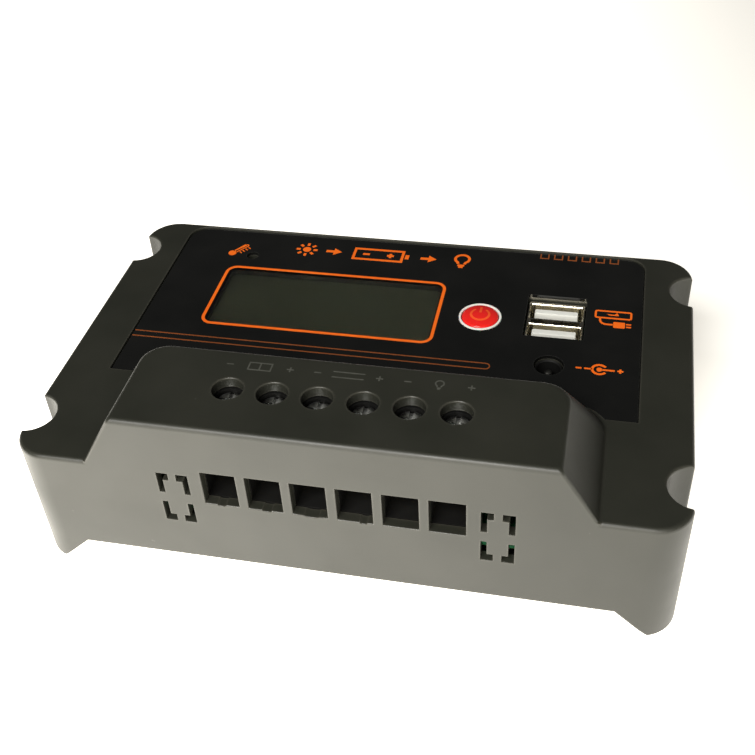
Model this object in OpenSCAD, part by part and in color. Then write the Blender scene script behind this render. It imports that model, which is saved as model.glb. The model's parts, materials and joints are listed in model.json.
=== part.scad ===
// Solar charge controller: a low black housing with a raised terminal hump along its front edge,
// a glossy front panel with a display, a power button, two USB sockets and a DC jack, and the
// boards, terminals and power parts inside. Origin: centre of the footprint, on the feet's soles.
// +X runs to the right, +Y to the back and +Z up.

/* [Housing] */
// Overall width
body_w = 152; // [150:1:190]
// Overall depth
body_d = 97; // [96:1:120]
// Height of the low level, from the soles
low_h = 35.4; // [35:0.1:44]
// Height of the terminal hump above the low level
hump_rise = 13.9; // [13.9:0.1:17]
// Radius of the housing's vertical corners
corner_r = 8.5; // [5:0.5:11]
// Thickness of the outer walls
wall = 2.5; // [2:0.1:3.1]
// Thickness of the low level's top wall
top_wall = 3; // [2.6:0.1:3.4]
// Height of the feet, which is also the gap below the skirt
foot_h = 7.8; // [5:0.1:9.5]
// Width of a foot at its top, along the front
foot_w = 13.7; // [11:0.1:16]
// Length of a foot at its top, along the side
foot_l = 31; // [28:1:36]
// How far each foot tapers in on its way down
foot_taper = 8.2; // [4:0.1:8.4]

/* [Terminal hump] */
// Width of the hump at its base
hump_base_w = 113.6; // [100:0.2:118]
// Width of the hump's flat top
hump_top_w = 96.8; // [80:0.2:98]
// Depth of the hump at its base, from the front
hump_base_d = 35; // [33:0.5:38]
// Depth of the hump's flat top, from the front
hump_top_d = 26.5; // [26:0.5:30]
// Corner radius of the hump's back corners at the base
hump_base_r = 8.5; // [4:0.5:12]
// Corner radius of the hump's back corners at the top
hump_top_r = 6; // [3:0.5:10]

/* [Wall mounting] */
// Radius of the half-round screwdriver notches in the side walls
notch_r = 6.1; // [5:0.1:7]
// Distance of the notch centres from the front and back faces
notch_inset = 13.7; // [12:0.1:16]
// Diameter of the mounting holes in the notch floors
mount_hole_d = 3.4; // [3:0.1:4]
// Thickness of the notch floors
notch_floor = 3; // [2:0.1:5]

/* [Terminals] */
// Number of screw terminals
terminal_n = 6; // [6]
// Spacing of the terminals
pitch = 10.16; // [10:0.02:10.4]
// Width of a wire window
window_w = 7.9; // [7.6:0.1:8.2]
// Height of a wire window
window_h = 9.6; // [9:0.1:10]
// Height of the lower edge of the wire windows
window_z = 26.6; // [25.6:0.1:27]
// Distance of the screw axes from the front face
screw_y = 13.9; // [12.5:0.1:15]
// Diameter of the screwdriver holes in the hump
access_d = 7; // [6.6:0.1:7.6]
// Thread pitch of a terminal screw
thread_pitch = 0.7; // [0.5:0.05:0.7]
// Full turns from open to clamped
screw_turns = 6; // [3:1:6]
// Diameter of a terminal screw's shank
shank_d = 4; // [3.5:0.1:4.2]
// Diameter of a terminal screw's head
head_d = 5.8; // [5.4:0.1:6]

/* [Front panel] */
// Width of the glossy panel
panel_w = 127; // [125:0.5:128]
// Distance from the panel's back edge to the housing's back face
panel_back = 1; // [1:0.1:3]
// Distance from the front face to the panel's front edge beside the hump
panel_front = 31.9; // [31:0.1:33]
// Thickness of the panel
panel_t = 1; // [0.8:0.1:1.2]
// Depth of the panel's surface below the low level
panel_sink = 0.5; // [0.2:0.1:0.6]

/* [Display and button] */
// Width of the display window
display_w = 60.4; // [56:0.2:62]
// Depth of the display window
display_d = 25.4; // [22:0.2:27]
// Distance from the panel's left edge to the display window
display_x = 15.7; // [15:0.1:18]
// Distance from the front face to the display window
display_y = 53.3; // [50:0.1:54]
// Distance from the display window to the button's axis
button_gap = 10.7; // [10:0.1:12]
// Distance from the front face to the button's axis
button_y = 65.8; // [60:0.1:70]
// Outer diameter of the button's white ring
ring_d = 10.9; // [10:0.1:12]
// Width of the button's white ring
ring_w = 0.6; // [0.6:0.1:1.1]
// Travel of the button
button_travel = 0.3; // [0.2:0.05:0.35]

/* [Sockets] */
// Distance from the panel's right edge to the middle of the sockets
socket_x = 21.4; // [21:0.1:24]
// Distance from the front face to the middle of the USB sockets
usb_y = 68.5; // [67.5:0.1:72]
// Width of the USB recess
usb_open_w = 15; // [14.8:0.1:16]
// Depth of the USB recess, front to back
usb_open_d = 17.1; // [16.6:0.1:18]
// Distance from the front face to the DC jack
jack_y = 49.3; // [48:0.1:51]
// Diameter of the hole over the DC jack
jack_hole_d = 7.3; // [7.2:0.1:8.5]
// Diameter of the sensor hole
sensor_d = 3.4; // [2.6:0.1:4.4]

/* [Fits] */
// Gap between parts that are put together and stay put
gap = 0.15; // [0.1:0.05:0.2]
// Radial gap round parts that turn or slide
run_gap = 0.06; // [0.04:0.01:0.1]

/* [Hidden] */
$fn = 64;
eps = 0.01;

// Colours of the real pieces
black_abs = [0.16, 0.16, 0.15];
gloss_black = [0.03, 0.03, 0.03];
green_board = [0.05, 0.35, 0.16];
dark_plastic = [0.08, 0.08, 0.09];
bright_metal = [0.75, 0.75, 0.72];
brass_metal = [0.80, 0.68, 0.38];
white_plastic = [0.92, 0.92, 0.90];

// Housing levels and edges
front = -body_d / 2;
back = body_d / 2;
total_h = low_h + hump_rise;
inner_top = low_h - top_wall;
hump_inner_top = total_h - wall;
hump_run_x = (hump_base_w - hump_top_w) / 2;
hump_run_y = hump_base_d - hump_top_d;
// Level width that a sloping hump wall needs to be one wall thick
slope_wall = wall / cos(atan(hump_run_x / hump_rise));
notch_x = body_w / 2 + 0.3;
notch_y = back - notch_inset;
pillar_r = notch_r + 2.2;
mount_x = body_w / 2 - 3.1;

// Bottom cover and the boards' levels
cover_t = 2.5;
cover_top = foot_h + cover_t;
board_t = 1.6;
main_z = window_z - 4.6;
main_under = main_z - board_t;
display_z = inner_top - 5.8;
display_under = display_z - board_t;
cover_boss_x = body_w / 2 - 9.5;
cover_boss_y = back - foot_l - 5.5;
boss_r = 3.2;
screw_r = 1.45;
pilot_r = 1.5;
screw_head_r = 2.7;
screw_head_t = 1.6;

// Panel levels
panel_top = low_h - panel_sink;
panel_under = panel_top - panel_t;
panel_left = -panel_w / 2;
panel_right = panel_w / 2;
panel_back_y = back - panel_back;
panel_r = 5;

// Display window, button, sockets and sensor, in the housing's frame
lcd_x0 = panel_left + display_x;
lcd_x1 = lcd_x0 + display_w;
lcd_y0 = front + display_y;
lcd_y1 = lcd_y0 + display_d;
lcd_cx = (lcd_x0 + lcd_x1) / 2;
lcd_cy = (lcd_y0 + lcd_y1) / 2;
window_r = 2.8;
view_lip = 1;
button_x = lcd_x1 + button_gap;
button_cy = front + button_y;
ring_r = ring_d / 2;
cap_r = ring_r - ring_w - gap;
ring_top = panel_top + 0.2;
socket_cx = panel_right - socket_x;
usb_cy = front + usb_y;
jack_cy = front + jack_y;
sensor_x = lcd_x0 + 4.9;
sensor_y = back - 12.6;

// Boards: outlines and fixings
main_w = body_w - 2 * 14.5;
main_d = body_d - 2 * 3.5;
main_fix_x = main_w / 2 - 4.5;
main_fix_y = main_d / 2 - 4.5;
post_r = 3;
disp_x0 = lcd_x0 - 7;
disp_x1 = button_x + 9;
disp_y0 = lcd_y0 - 9;
disp_y1 = back - 5;
disp_fix = 3.2;
disp_post_r = 2.4;

// Display stack
holder_wall = 1.6;
holder_lip = 2;
glass_w = display_w + 2.4;
glass_d = display_d + 3.6;
glass_t = 2.8;
glass_z = inner_top - 0.2 - glass_t;
backlight_z = display_z + 0.1;
lcd_pin_n = 16;
lcd_pin_pitch = 3.4;

// Button stack
tact_w = 6;
tact_h = 3.5;
plunger_r = 1.72;
plunger_spare = 0.1;
tact_floor = 1;
plunger_h = 0.8;
dome_h = 0.8;
dome_r = (cap_r * cap_r + dome_h * dome_h) / (2 * dome_h);
flange_t = 1.1;
flange_top = inner_top - 0.1;
stem_r = 1.5;

// Terminals: the block, the cage that climbs the screw, and the contact bar above the wire
term_w = (terminal_n - 1) * pitch + 11.6;
term_y0 = front + wall + 0.3;
term_y1 = front + screw_y + 8.4;
window_top = window_z + window_h;
term_top = hump_inner_top - 0.4;
axis_y = front + screw_y;
bar_t = 1;
bar_w = 5.6;
bar_z = window_top + 0.05;
leg_y = term_y1 - 2.1;
leg_w = 4;
cage_w = 7.6;
cage_wall = 0.8;
cage_d = 7;
cage_floor_t = 1.2;
cage_floor_z = window_z - cage_floor_t;
cage_top_t = 1.2;
cage_top_z = bar_z + bar_t + 0.05;
cage_travel = screw_turns * thread_pitch;
chamber_w = cage_w + 0.5;
chamber_d = cage_d + 1;
chamber_top = cage_top_z + cage_top_t + cage_travel + 0.3;
shoulder_t = 1;
head_z = chamber_top + shoulder_t + 0.05;
head_t = 1.85;
slot_w = 1;
slot_depth = 0.9;

// USB sockets and DC jack
usb_w = 14.4;
usb_d = 16.2;
usb_h = low_h - 2.4 - main_z;
usb_spacing = 8.3;
port_w = 13.2;
port_d = 5.6;
tongue_w = 11.1;
tongue_t = 2;
tongue_back = 0.9;
usb_base_t = 2;
contact_t = 0.15;
jack_w = 10;
jack_bore_r = 2.9;
jack_pin_r = 1.05;
jack_collar_r = jack_hole_d / 2 - 0.25;
jack_floor = 2.2;

// Power parts below the main board
spreader_z = cover_top + 2.4;
spreader_t = 3;
pad_t = 0.2;
fet_n = 4;
fet_pitch = 22;
fet_w = 10;
fet_body_d = 9;
fet_tab_d = 6.4;
fet_tab_t = 1.3;
fet_h = main_under - 0.2 - spreader_z - spreader_t - pad_t;
fet_z = spreader_z + spreader_t + pad_t;
fet_y = front + 34;
spreader_w = (fet_n - 1) * fet_pitch + 26;
spreader_d = 26;

// Parts on top of the main board
cap_can_r = 4;
cap_can_h = inner_top - main_z - 0.6;
cap_x = main_w / 2 - 5.5;
coil_r = 4.2;
coil_tube_r = 2.1;
wire_r = 0.4;
coil_turns = 10;
coil_x = socket_cx;
coil_y = back - 10.5;

// Places of the terminals along the front, by number from the left
function term_x(i) = (i - 1 - (terminal_n - 1) / 2) * pitch;

// Width of the hump to each side of the middle, at height z
function hump_half_w(z) = hump_base_w / 2 + (low_h - z) * hump_run_x / hump_rise;

// Reach of the hump from the front face, at height z
function hump_reach(z) = hump_base_d + (low_h - z) * hump_run_y / hump_rise;

module rounded_rect(w, d, r) {
    square([w - 2 * r, d], center = true);
    square([w, d - 2 * r], center = true);
    for (sx = [-1, 1], sy = [-1, 1])
        translate([sx * (w / 2 - r), sy * (d / 2 - r)]) circle(r);
}

module rounded_block(w, d, r, z0, z1) {
    translate([0, 0, z0]) linear_extrude(z1 - z0) rounded_rect(w, d, r);
}

module block(x0, x1, y0, y1, z0, z1) {
    translate([x0, y0, z0]) cube([x1 - x0, y1 - y0, z1 - z0]);
}

module post(x, y, r, z0, z1) {
    translate([x, y, z0]) cylinder(h = z1 - z0, r = r);
}

module at_corners(x, y) {
    for (sx = [-1, 1], sy = [-1, 1]) translate([sx * x, sy * y, 0]) children();
}

// The hump, drawn in by an inset on its sides and back, between two heights
module hump_level(inset, z, r) {
    half_w = hump_half_w(z) - inset;
    reach = hump_reach(z) - inset;
    for (sx = [-1, 1]) {
        translate([sx * (half_w - r), front + reach - r, z]) cylinder(h = eps, r = r, $fn = 32);
        translate([sx * (half_w - 1) - 1, front + (inset > 0 ? wall : 0), z]) cube([2, 1, eps]);
    }
}

module hump_form(inset, z0, z1) {
    hull() {
        hump_level(inset, z0, hump_base_r - inset / 2);
        hump_level(inset, z1 - eps, hump_top_r - inset / 2);
    }
}

// A foot tapers in along the front and along the side, and stands below a notch
module foot(sx, sy) {
    intersection() {
        rounded_block(body_w, body_d, corner_r, 0, cover_top);
        mirrored(sx, sy) union() {
            difference() {
                translate([body_w / 2 - foot_w, back - foot_l, 0]) cube([foot_w, foot_l, cover_top]);
                taper_cut(body_w / 2 - foot_w, foot_l + 2, 0);
                taper_cut(back - foot_l, foot_w + 2, 1);
            }
            post(notch_x, notch_y, pillar_r, 0, cover_top);
        }
    }
}

module mirrored(sx, sy) {
    mirror([sx < 0 ? 1 : 0, 0, 0]) mirror([0, sy < 0 ? 1 : 0, 0]) children();
}

// The wedge that leaves a foot's slanted flank, along X or, when turned, along Y
module taper_cut(edge, length, along_y) {
    outline = [[-1, -1], [foot_taper, -1], [foot_taper, 0], [0, foot_h], [-1, foot_h]];
    if (along_y == 1)
        translate([body_w / 2 - length, edge, 0]) rotate([90, 0, 90])
            linear_extrude(length + 1) polygon(outline);
    else
        translate([edge, back + 1, 0]) rotate([90, 0, 0]) linear_extrude(length + 1) polygon(outline);
}

// The housing's inside, less everything that stands in it
module housing_cavity() {
    difference() {
        union() {
            rounded_block(body_w - 2 * wall, body_d - 2 * wall, corner_r - wall, foot_h - 1, inner_top);
            hump_form(slope_wall, inner_top - eps, hump_inner_top);
        }
        at_corners(notch_x, notch_y) post(0, 0, pillar_r, 0, total_h);
        for (sx = [-1, 1], sy = [-1, 1]) foot(sx, sy);
        at_corners(cover_boss_x, cover_boss_y) post(0, 0, boss_r, cover_top, total_h);
        display_posts(disp_post_r, display_z);
    }
}

module display_posts(r, z0) {
    for (x = [disp_x0 + disp_fix, disp_x1 - disp_fix], y = [disp_y0 + disp_fix, disp_y1 - disp_fix])
        post(x, y, r, z0, low_h - top_wall + 1);
}

// Outline of the panel, grown by a gap: it wraps round the hump's base
module panel_outline(grow) {
    difference() {
        translate([0, (front + panel_front + panel_back_y) / 2])
            rounded_rect(panel_w + 2 * grow, panel_back_y - front - panel_front + 2 * grow, panel_r + grow);
        hump_clear = 0.9 - grow;
        half_w = hump_base_w / 2 + hump_clear;
        reach = hump_base_d + hump_clear;
        translate([-half_w, front]) square([2 * half_w, reach - hump_base_r]);
        translate([-half_w + hump_base_r, front]) square([2 * (half_w - hump_base_r), reach]);
        for (sx = [-1, 1])
            translate([sx * (half_w - hump_base_r), front + reach - hump_base_r]) circle(hump_base_r);
    }
    for (sx = [-1, 1])
        translate([sx * (panel_w / 2 + grow - panel_r / 2) - panel_r / 2, front + panel_front - grow])
            square([panel_r, panel_r + grow]);
}

// Window of the display, drawn in by an inset
module display_outline(inset) {
    translate([lcd_cx, lcd_cy])
        rounded_rect(display_w - 2 * inset, display_d - 2 * inset, max(window_r - inset, 0.6));
}

module usb_recess() {
    block(socket_cx - usb_open_w / 2, socket_cx + usb_open_w / 2,
          usb_cy - usb_open_d / 2, usb_cy + usb_open_d / 2, inner_top - 1, low_h + 1);
}

// Four corner slots that mark out an upright rectangle in the front wall
module bracket_slots(x) {
    slot_span = 7.25;
    slot_z0 = 19.5;
    slot_z1 = 34.6;
    stroke_v = 1.25;
    stroke_h = 2;
    arm_h = 2.65;
    arm_v = 6;
    for (sx = [-1, 1], up = [0, 1]) {
        edge = x + sx * slot_span / 2;
        block(min(edge, edge - sx * stroke_v), max(edge, edge - sx * stroke_v),
              front - 1, front + wall + 1,
              up == 1 ? slot_z1 - arm_v : slot_z0, up == 1 ? slot_z1 : slot_z0 + arm_v);
        block(min(edge, edge - sx * arm_h), max(edge, edge - sx * arm_h),
              front - 1, front + wall + 1,
              up == 1 ? slot_z1 - stroke_h : slot_z0, up == 1 ? slot_z1 : slot_z0 + stroke_h);
    }
}

module upper_housing() {
    color(black_abs) difference() {
        union() {
            rounded_block(body_w, body_d, corner_r, foot_h, low_h);
            hump_form(0, low_h - 1, total_h);
            for (sx = [-1, 1], sy = [-1, 1]) foot(sx, sy);
        }
        housing_cavity();
        // notches with a floor and a mounting hole each
        at_corners(notch_x, notch_y) post(0, 0, notch_r, notch_floor, total_h);
        at_corners(mount_x, notch_y) post(0, 0, mount_hole_d / 2, -1, notch_floor + 1);
        // pilot holes for the cover's and the display board's screws
        at_corners(cover_boss_x, cover_boss_y) post(0, 0, pilot_r, cover_top - 1, cover_top + 10);
        display_posts(screw_r - 0.35, display_z - 1);
        // front wall
        for (i = [1 : terminal_n])
            block(term_x(i) - window_w / 2, term_x(i) + window_w / 2,
                  front - 1, front + wall + 1, window_z, window_top);
        for (sx = [-1, 1]) bracket_slots(sx * ((terminal_n - 1) / 2 * pitch + 10.8));
        // hump
        for (i = [1 : terminal_n]) post(term_x(i), axis_y, access_d / 2, hump_inner_top - 1, total_h + 1);
        // seat of the panel and the openings below it
        translate([0, 0, panel_under]) linear_extrude(panel_t + panel_sink + 1) panel_outline(gap);
        translate([0, 0, inner_top - 1]) linear_extrude(top_wall + 2) display_outline(view_lip);
        post(button_x, button_cy, ring_r - ring_w, inner_top - 1, low_h);
        usb_recess();
        post(socket_cx, jack_cy, jack_hole_d / 2, inner_top - 1, low_h);
        post(sensor_x, sensor_y, sensor_d / 2, inner_top - 1, low_h);
    }
}

module bottom_cover() {
    rail_w = 6;
    color(black_abs) difference() {
        union() {
            difference() {
                rounded_block(body_w - 2 * wall - 2 * gap, body_d - 2 * wall - 2 * gap,
                              corner_r - wall, foot_h, cover_top);
                for (sx = [-1, 1], sy = [-1, 1]) mirrored(sx, sy)
                    block(body_w / 2 - foot_w - gap, body_w, back - foot_l - gap, body_d, 0, low_h);
            }
            at_corners(main_fix_x, main_fix_y) post(0, 0, post_r, foot_h, main_under);
            for (sx = [-1, 1])
                translate([sx * (spreader_w / 2 - rail_w), 0, 0])
                    block(-rail_w / 2, rail_w / 2, fet_y - 6, fet_y + 14, foot_h, spreader_z);
        }
        at_corners(main_fix_x, main_fix_y) post(0, 0, pilot_r, foot_h + 2, main_under + 1);
        at_corners(cover_boss_x, cover_boss_y) post(0, 0, pilot_r + 0.2, foot_h - 1, cover_top + 1);
        at_corners(cover_boss_x, cover_boss_y)
            post(0, 0, screw_head_r + 0.3, foot_h - 1, foot_h + screw_head_t);
    }
}

// A screw with its head at the origin and its shank along +Z
module plain_screw(head_r, head_h, shank_r, shank_l) {
    difference() {
        translate([0, 0, -head_h]) cylinder(h = head_h, r = head_r);
        for (turn = [0, 90]) rotate([0, 0, turn])
            translate([-head_r * 0.6, -0.4, -head_h - 1]) cube([head_r * 1.2, 0.8, 1.8]);
    }
    cylinder(h = shank_l, r = shank_r);
}

module cover_screws() {
    color(bright_metal) at_corners(cover_boss_x, cover_boss_y)
        translate([0, 0, foot_h + screw_head_t]) plain_screw(screw_head_r, screw_head_t - 0.1, screw_r, 9);
}

module front_panel() {
    color(gloss_black) translate([0, 0, panel_under]) linear_extrude(panel_t) difference() {
        panel_outline(0);
        display_outline(-gap);
        translate([button_x, button_cy]) circle(ring_r + gap);
        translate([socket_cx, usb_cy]) square([usb_open_w, usb_open_d], center = true);
        translate([socket_cx, jack_cy]) circle(jack_hole_d / 2);
        translate([sensor_x, sensor_y]) circle(sensor_d / 2);
    }
}

module display_window() {
    color([0.25, 0.27, 0.22, 0.5]) translate([0, 0, panel_under]) linear_extrude(panel_t) display_outline(0);
}

module button_ring() {
    color(white_plastic) translate([button_x, button_cy, panel_under]) difference() {
        cylinder(h = ring_top - panel_under, r = ring_r);
        translate([0, 0, -1]) cylinder(h = panel_t + 3, r = ring_r - ring_w);
    }
}

module power_button() {
    color([0.90, 0.10, 0.08]) translate([button_x, button_cy, 0]) {
        intersection() {
            post(0, 0, cap_r, flange_top - 0.5, ring_top + dome_h);
            translate([0, 0, ring_top + dome_h - dome_r]) sphere(dome_r);
        }
        post(0, 0, ring_r - 0.1, flange_top - flange_t, flange_top);
        post(0, 0, stem_r, display_z + tact_h + plunger_h + 0.05, flange_top - 0.5);
    }
}

module tact_switch_body() {
    color(dark_plastic) translate([button_x, button_cy, 0]) difference() {
        block(-tact_w / 2, tact_w / 2, -tact_w / 2, tact_w / 2, display_z, display_z + tact_h);
        post(0, 0, plunger_r + run_gap, display_z + tact_floor, display_z + tact_h + 1);
    }
}

module tact_switch_plunger() {
    color([0.75, 0.62, 0.35])
        post(button_x, button_cy, plunger_r, display_z + tact_floor + button_travel + plunger_spare,
             display_z + tact_h + plunger_h);
}

module display_board() {
    color(green_board) difference() {
        block(disp_x0, disp_x1, disp_y0, disp_y1, display_under, display_z);
        display_posts(screw_r + 0.1, display_under - 1);
    }
}

module display_screws() {
    color(bright_metal)
        for (x = [disp_x0 + disp_fix, disp_x1 - disp_fix], y = [disp_y0 + disp_fix, disp_y1 - disp_fix])
            translate([x, y, display_under]) plain_screw(2.3, 1.4, screw_r - 0.4, board_t + 4.6);
}

module lcd_holder() {
    hw = glass_w + 2 * (holder_wall + gap);
    hd = glass_d + 2 * (holder_wall + gap);
    color(dark_plastic) translate([lcd_cx, lcd_cy, 0]) difference() {
        rounded_block(hw, hd, 1, display_z, inner_top - 0.1);
        block(-glass_w / 2 - gap, glass_w / 2 + gap, -glass_d / 2 - gap, glass_d / 2 + gap,
              glass_z - gap, inner_top);
        block(-glass_w / 2 + holder_lip, glass_w / 2 - holder_lip,
              -glass_d / 2 + holder_lip, glass_d / 2 - holder_lip, display_z - 1, inner_top);
    }
}

module lcd_glass() {
    color([0.36, 0.40, 0.33]) translate([lcd_cx, lcd_cy, 0])
        block(-glass_w / 2, glass_w / 2, -glass_d / 2, glass_d / 2, glass_z, glass_z + glass_t);
}

module lcd_backlight() {
    inset = holder_lip + gap;
    color([0.85, 0.88, 0.82]) translate([lcd_cx, lcd_cy, 0])
        block(-glass_w / 2 + inset, glass_w / 2 - inset, -glass_d / 2 + inset + 1.6, glass_d / 2 - inset,
              backlight_z, glass_z - gap);
}

module lcd_pins() {
    pin_y = lcd_cy - glass_d / 2 + holder_lip + 0.9;
    color(bright_metal) for (i = [0 : lcd_pin_n - 1])
        translate([lcd_cx + (i - (lcd_pin_n - 1) / 2) * lcd_pin_pitch, pin_y, display_z])
            translate([-0.25, -0.15, 0]) cube([0.5, 0.3, glass_z - display_z]);
}

module temperature_sensor() {
    bead_z = inner_top - 1.7;
    color([0.10, 0.10, 0.12]) translate([sensor_x, sensor_y, bead_z]) sphere(1.2);
    for (sx = [-1, 1])
        color(bright_metal) post(sensor_x + sx * 0.6, sensor_y, 0.22, display_z, bead_z - 0.5);
}

module main_board() {
    color(green_board) difference() {
        block(-main_w / 2, main_w / 2, -main_d / 2, main_d / 2, main_under, main_z);
        at_corners(main_fix_x, main_fix_y) post(0, 0, pilot_r + 0.2, main_under - 1, main_z + 1);
        for (i = [1 : terminal_n])
            block(term_x(i) - leg_w / 2 - gap, term_x(i) + leg_w / 2 + gap,
                  leg_y - gap, leg_y + bar_t + gap, main_under - 1, main_z + 1);
    }
}

module board_screws() {
    color(bright_metal) at_corners(main_fix_x, main_fix_y)
        translate([0, 0, main_z]) rotate([180, 0, 0]) plain_screw(screw_head_r, 1.6, screw_r, board_t + 6);
}

module board_header() {
    pins = 10;
    step = 2.54;
    y = disp_y1 - 7;
    x0 = disp_x1 - 14 - pins * step;
    color(dark_plastic) block(x0, x0 + pins * step, y, y + step, main_z, display_under);
}

module terminal_body() {
    color(dark_plastic) difference() {
        block(-term_w / 2, term_w / 2, term_y0, term_y1, main_z, term_top);
        for (i = [1 : terminal_n]) translate([term_x(i), 0, 0]) {
            // wire passage
            block(-window_w / 2, window_w / 2, term_y0 - 1, leg_y - gap, window_z, window_top);
            // chamber in which the cage climbs
            block(-chamber_w / 2, chamber_w / 2, axis_y - chamber_d / 2, axis_y + chamber_d / 2,
                  cage_floor_z - 0.7, chamber_top);
            // seat of the contact bar and its leg
            block(-bar_w / 2 - gap, bar_w / 2 + gap, axis_y - chamber_d / 2 - 1.1, leg_y + bar_t + gap,
                  bar_z - gap, bar_z + bar_t + gap);
            block(-bar_w / 2 - gap, bar_w / 2 + gap, leg_y - gap, leg_y + bar_t + gap,
                  main_z - 1, bar_z + bar_t);
            // shoulder and well of the screw's head
            post(0, axis_y, shank_d / 2 + 0.3, chamber_top - 1, term_top);
            post(0, axis_y, head_d / 2 + 0.3, chamber_top + shoulder_t, term_top + 1);
        }
    }
}

module terminal_bars() {
    color(brass_metal) for (i = [1 : terminal_n]) translate([term_x(i), 0, 0]) {
        block(-bar_w / 2, bar_w / 2, axis_y - chamber_d / 2 - 1, leg_y + bar_t, bar_z, bar_z + bar_t);
        block(-bar_w / 2, bar_w / 2, leg_y, leg_y + bar_t, main_z, bar_z + eps);
        block(-leg_w / 2, leg_w / 2, leg_y, leg_y + bar_t, main_under - 1, main_z + eps);
    }
}

module terminal_screw(i) {
    color(bright_metal) translate([term_x(i), axis_y, 0]) difference() {
        union() {
            post(0, 0, head_d / 2, head_z, head_z + head_t);
            post(0, 0, shank_d / 2, bar_z + bar_t + 0.05, head_z + eps);
        }
        for (turn = [0, 90]) rotate([0, 0, turn])
            block(-head_d, head_d, -slot_w / 2, slot_w / 2,
                  head_z + head_t - slot_depth, head_z + head_t + 1);
    }
}

module terminal_cage(i) {
    cage_y0 = axis_y - cage_d / 2;
    cage_y1 = axis_y + cage_d / 2;
    color(brass_metal) translate([term_x(i), 0, 0]) difference() {
        block(-cage_w / 2, cage_w / 2, cage_y0, cage_y1, cage_floor_z, cage_top_z + cage_top_t);
        block(-cage_w / 2 + cage_wall, cage_w / 2 - cage_wall, cage_y0 - 1, cage_y1 + 1,
              cage_floor_z + cage_floor_t, cage_top_z);
        post(0, axis_y, shank_d / 2 + run_gap, cage_top_z - 1, cage_top_z + cage_top_t + 1);
    }
}

module usb_shell() {
    color(bright_metal) translate([socket_cx, usb_cy, 0]) difference() {
        rounded_block(usb_w, usb_d, 0.5, main_z, main_z + usb_h);
        for (sy = [-1, 1]) translate([0, sy * usb_spacing / 2, 0])
            block(-port_w / 2, port_w / 2, -port_d / 2, port_d / 2, main_z - 1, main_z + usb_h + 1);
        block(-port_w / 2 + 0.4, port_w / 2 - 0.4, -0.6, 0.6, main_z + 1, main_z + usb_h + 1);
    }
}

module usb_tongues() {
    color(white_plastic) translate([socket_cx, usb_cy, 0]) for (sy = [-1, 1]) {
        port_back = sy * usb_spacing / 2 + port_d / 2;
        block(-port_w / 2 + 0.1, port_w / 2 - 0.1, port_back - port_d + 0.1, port_back - 0.1,
              main_z, main_z + usb_base_t);
        block(-tongue_w / 2, tongue_w / 2, port_back - tongue_back - tongue_t, port_back - tongue_back,
              main_z, main_z + usb_h - 0.6);
    }
}

module usb_contacts() {
    color(brass_metal) translate([socket_cx, usb_cy, 0])
        for (sy = [-1, 1], x = [-3.5, -1, 1, 3.5]) {
            face = sy * usb_spacing / 2 + port_d / 2 - tongue_back - tongue_t;
            block(x - 0.5, x + 0.5, face - contact_t, face, main_z + usb_base_t, main_z + usb_h - 1.6);
        }
}

module dc_jack_body() {
    color(dark_plastic) translate([socket_cx, jack_cy, 0]) difference() {
        union() {
            block(-jack_w / 2, jack_w / 2, -jack_w / 2, jack_w / 2, main_z, inner_top - 0.1);
            post(0, 0, jack_collar_r, main_z, panel_under);
        }
        post(0, 0, jack_bore_r, main_z + jack_floor, low_h);
        post(0, 0, jack_pin_r, main_z - 1, low_h);
    }
}

module dc_jack_pin() {
    color(bright_metal) post(socket_cx, jack_cy, jack_pin_r, main_z, panel_under - 0.8);
}

module heat_spreader() {
    color([0.78, 0.79, 0.80]) difference() {
        block(-spreader_w / 2, spreader_w / 2, fet_y - 8, fet_y - 8 + spreader_d,
              spreader_z, spreader_z + spreader_t);
        for (i = [0 : fet_n - 1])
            post(fet_x(i), fet_hole_y(), pilot_r, spreader_z - 1, spreader_z + spreader_t + 1);
    }
}

function fet_x(i) = (i - (fet_n - 1) / 2) * fet_pitch;
function fet_hole_y() = fet_y + fet_body_d + 3.6;

module insulating_pads() {
    color([0.75, 0.80, 0.82]) difference() {
        for (i = [0 : fet_n - 1])
            block(fet_x(i) - fet_w / 2 - 1, fet_x(i) + fet_w / 2 + 1, fet_y - 0.8,
                  fet_y + fet_body_d + fet_tab_d + 0.8, spreader_z + spreader_t, fet_z);
        for (i = [0 : fet_n - 1]) post(fet_x(i), fet_hole_y(), pilot_r + 0.1, spreader_z, main_z);
    }
}

module mosfets() {
    color(dark_plastic) for (i = [0 : fet_n - 1]) difference() {
        union() {
            block(fet_x(i) - fet_w / 2, fet_x(i) + fet_w / 2, fet_y, fet_y + fet_body_d,
                  fet_z, fet_z + fet_h);
            block(fet_x(i) - fet_w / 2, fet_x(i) + fet_w / 2, fet_y + fet_body_d - eps,
                  fet_y + fet_body_d + fet_tab_d, fet_z, fet_z + fet_tab_t);
        }
        post(fet_x(i), fet_hole_y(), pilot_r + 0.1, spreader_z, main_z);
    }
}

module mosfet_leads() {
    color(bright_metal) for (i = [0 : fet_n - 1], k = [-1, 0, 1]) translate([fet_x(i) + k * 2.54, 0, 0]) {
        block(-0.35, 0.35, fet_y - 4, fet_y, fet_z + 2, fet_z + 2.5);
        block(-0.35, 0.35, fet_y - 4, fet_y - 3.5, fet_z + 2, main_under);
    }
}

module mosfet_screws() {
    color(bright_metal) for (i = [0 : fet_n - 1]) translate([fet_x(i), fet_hole_y(), fet_z + fet_tab_t])
        rotate([180, 0, 0]) plain_screw(2.6, 1.6, screw_r, fet_tab_t + pad_t + spreader_t - 0.2);
}

module capacitors() {
    color([0.10, 0.12, 0.20]) for (y = [usb_cy - 9, usb_cy, usb_cy + 9])
        post(cap_x, y, cap_can_r, main_z, main_z + cap_can_h);
}

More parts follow.
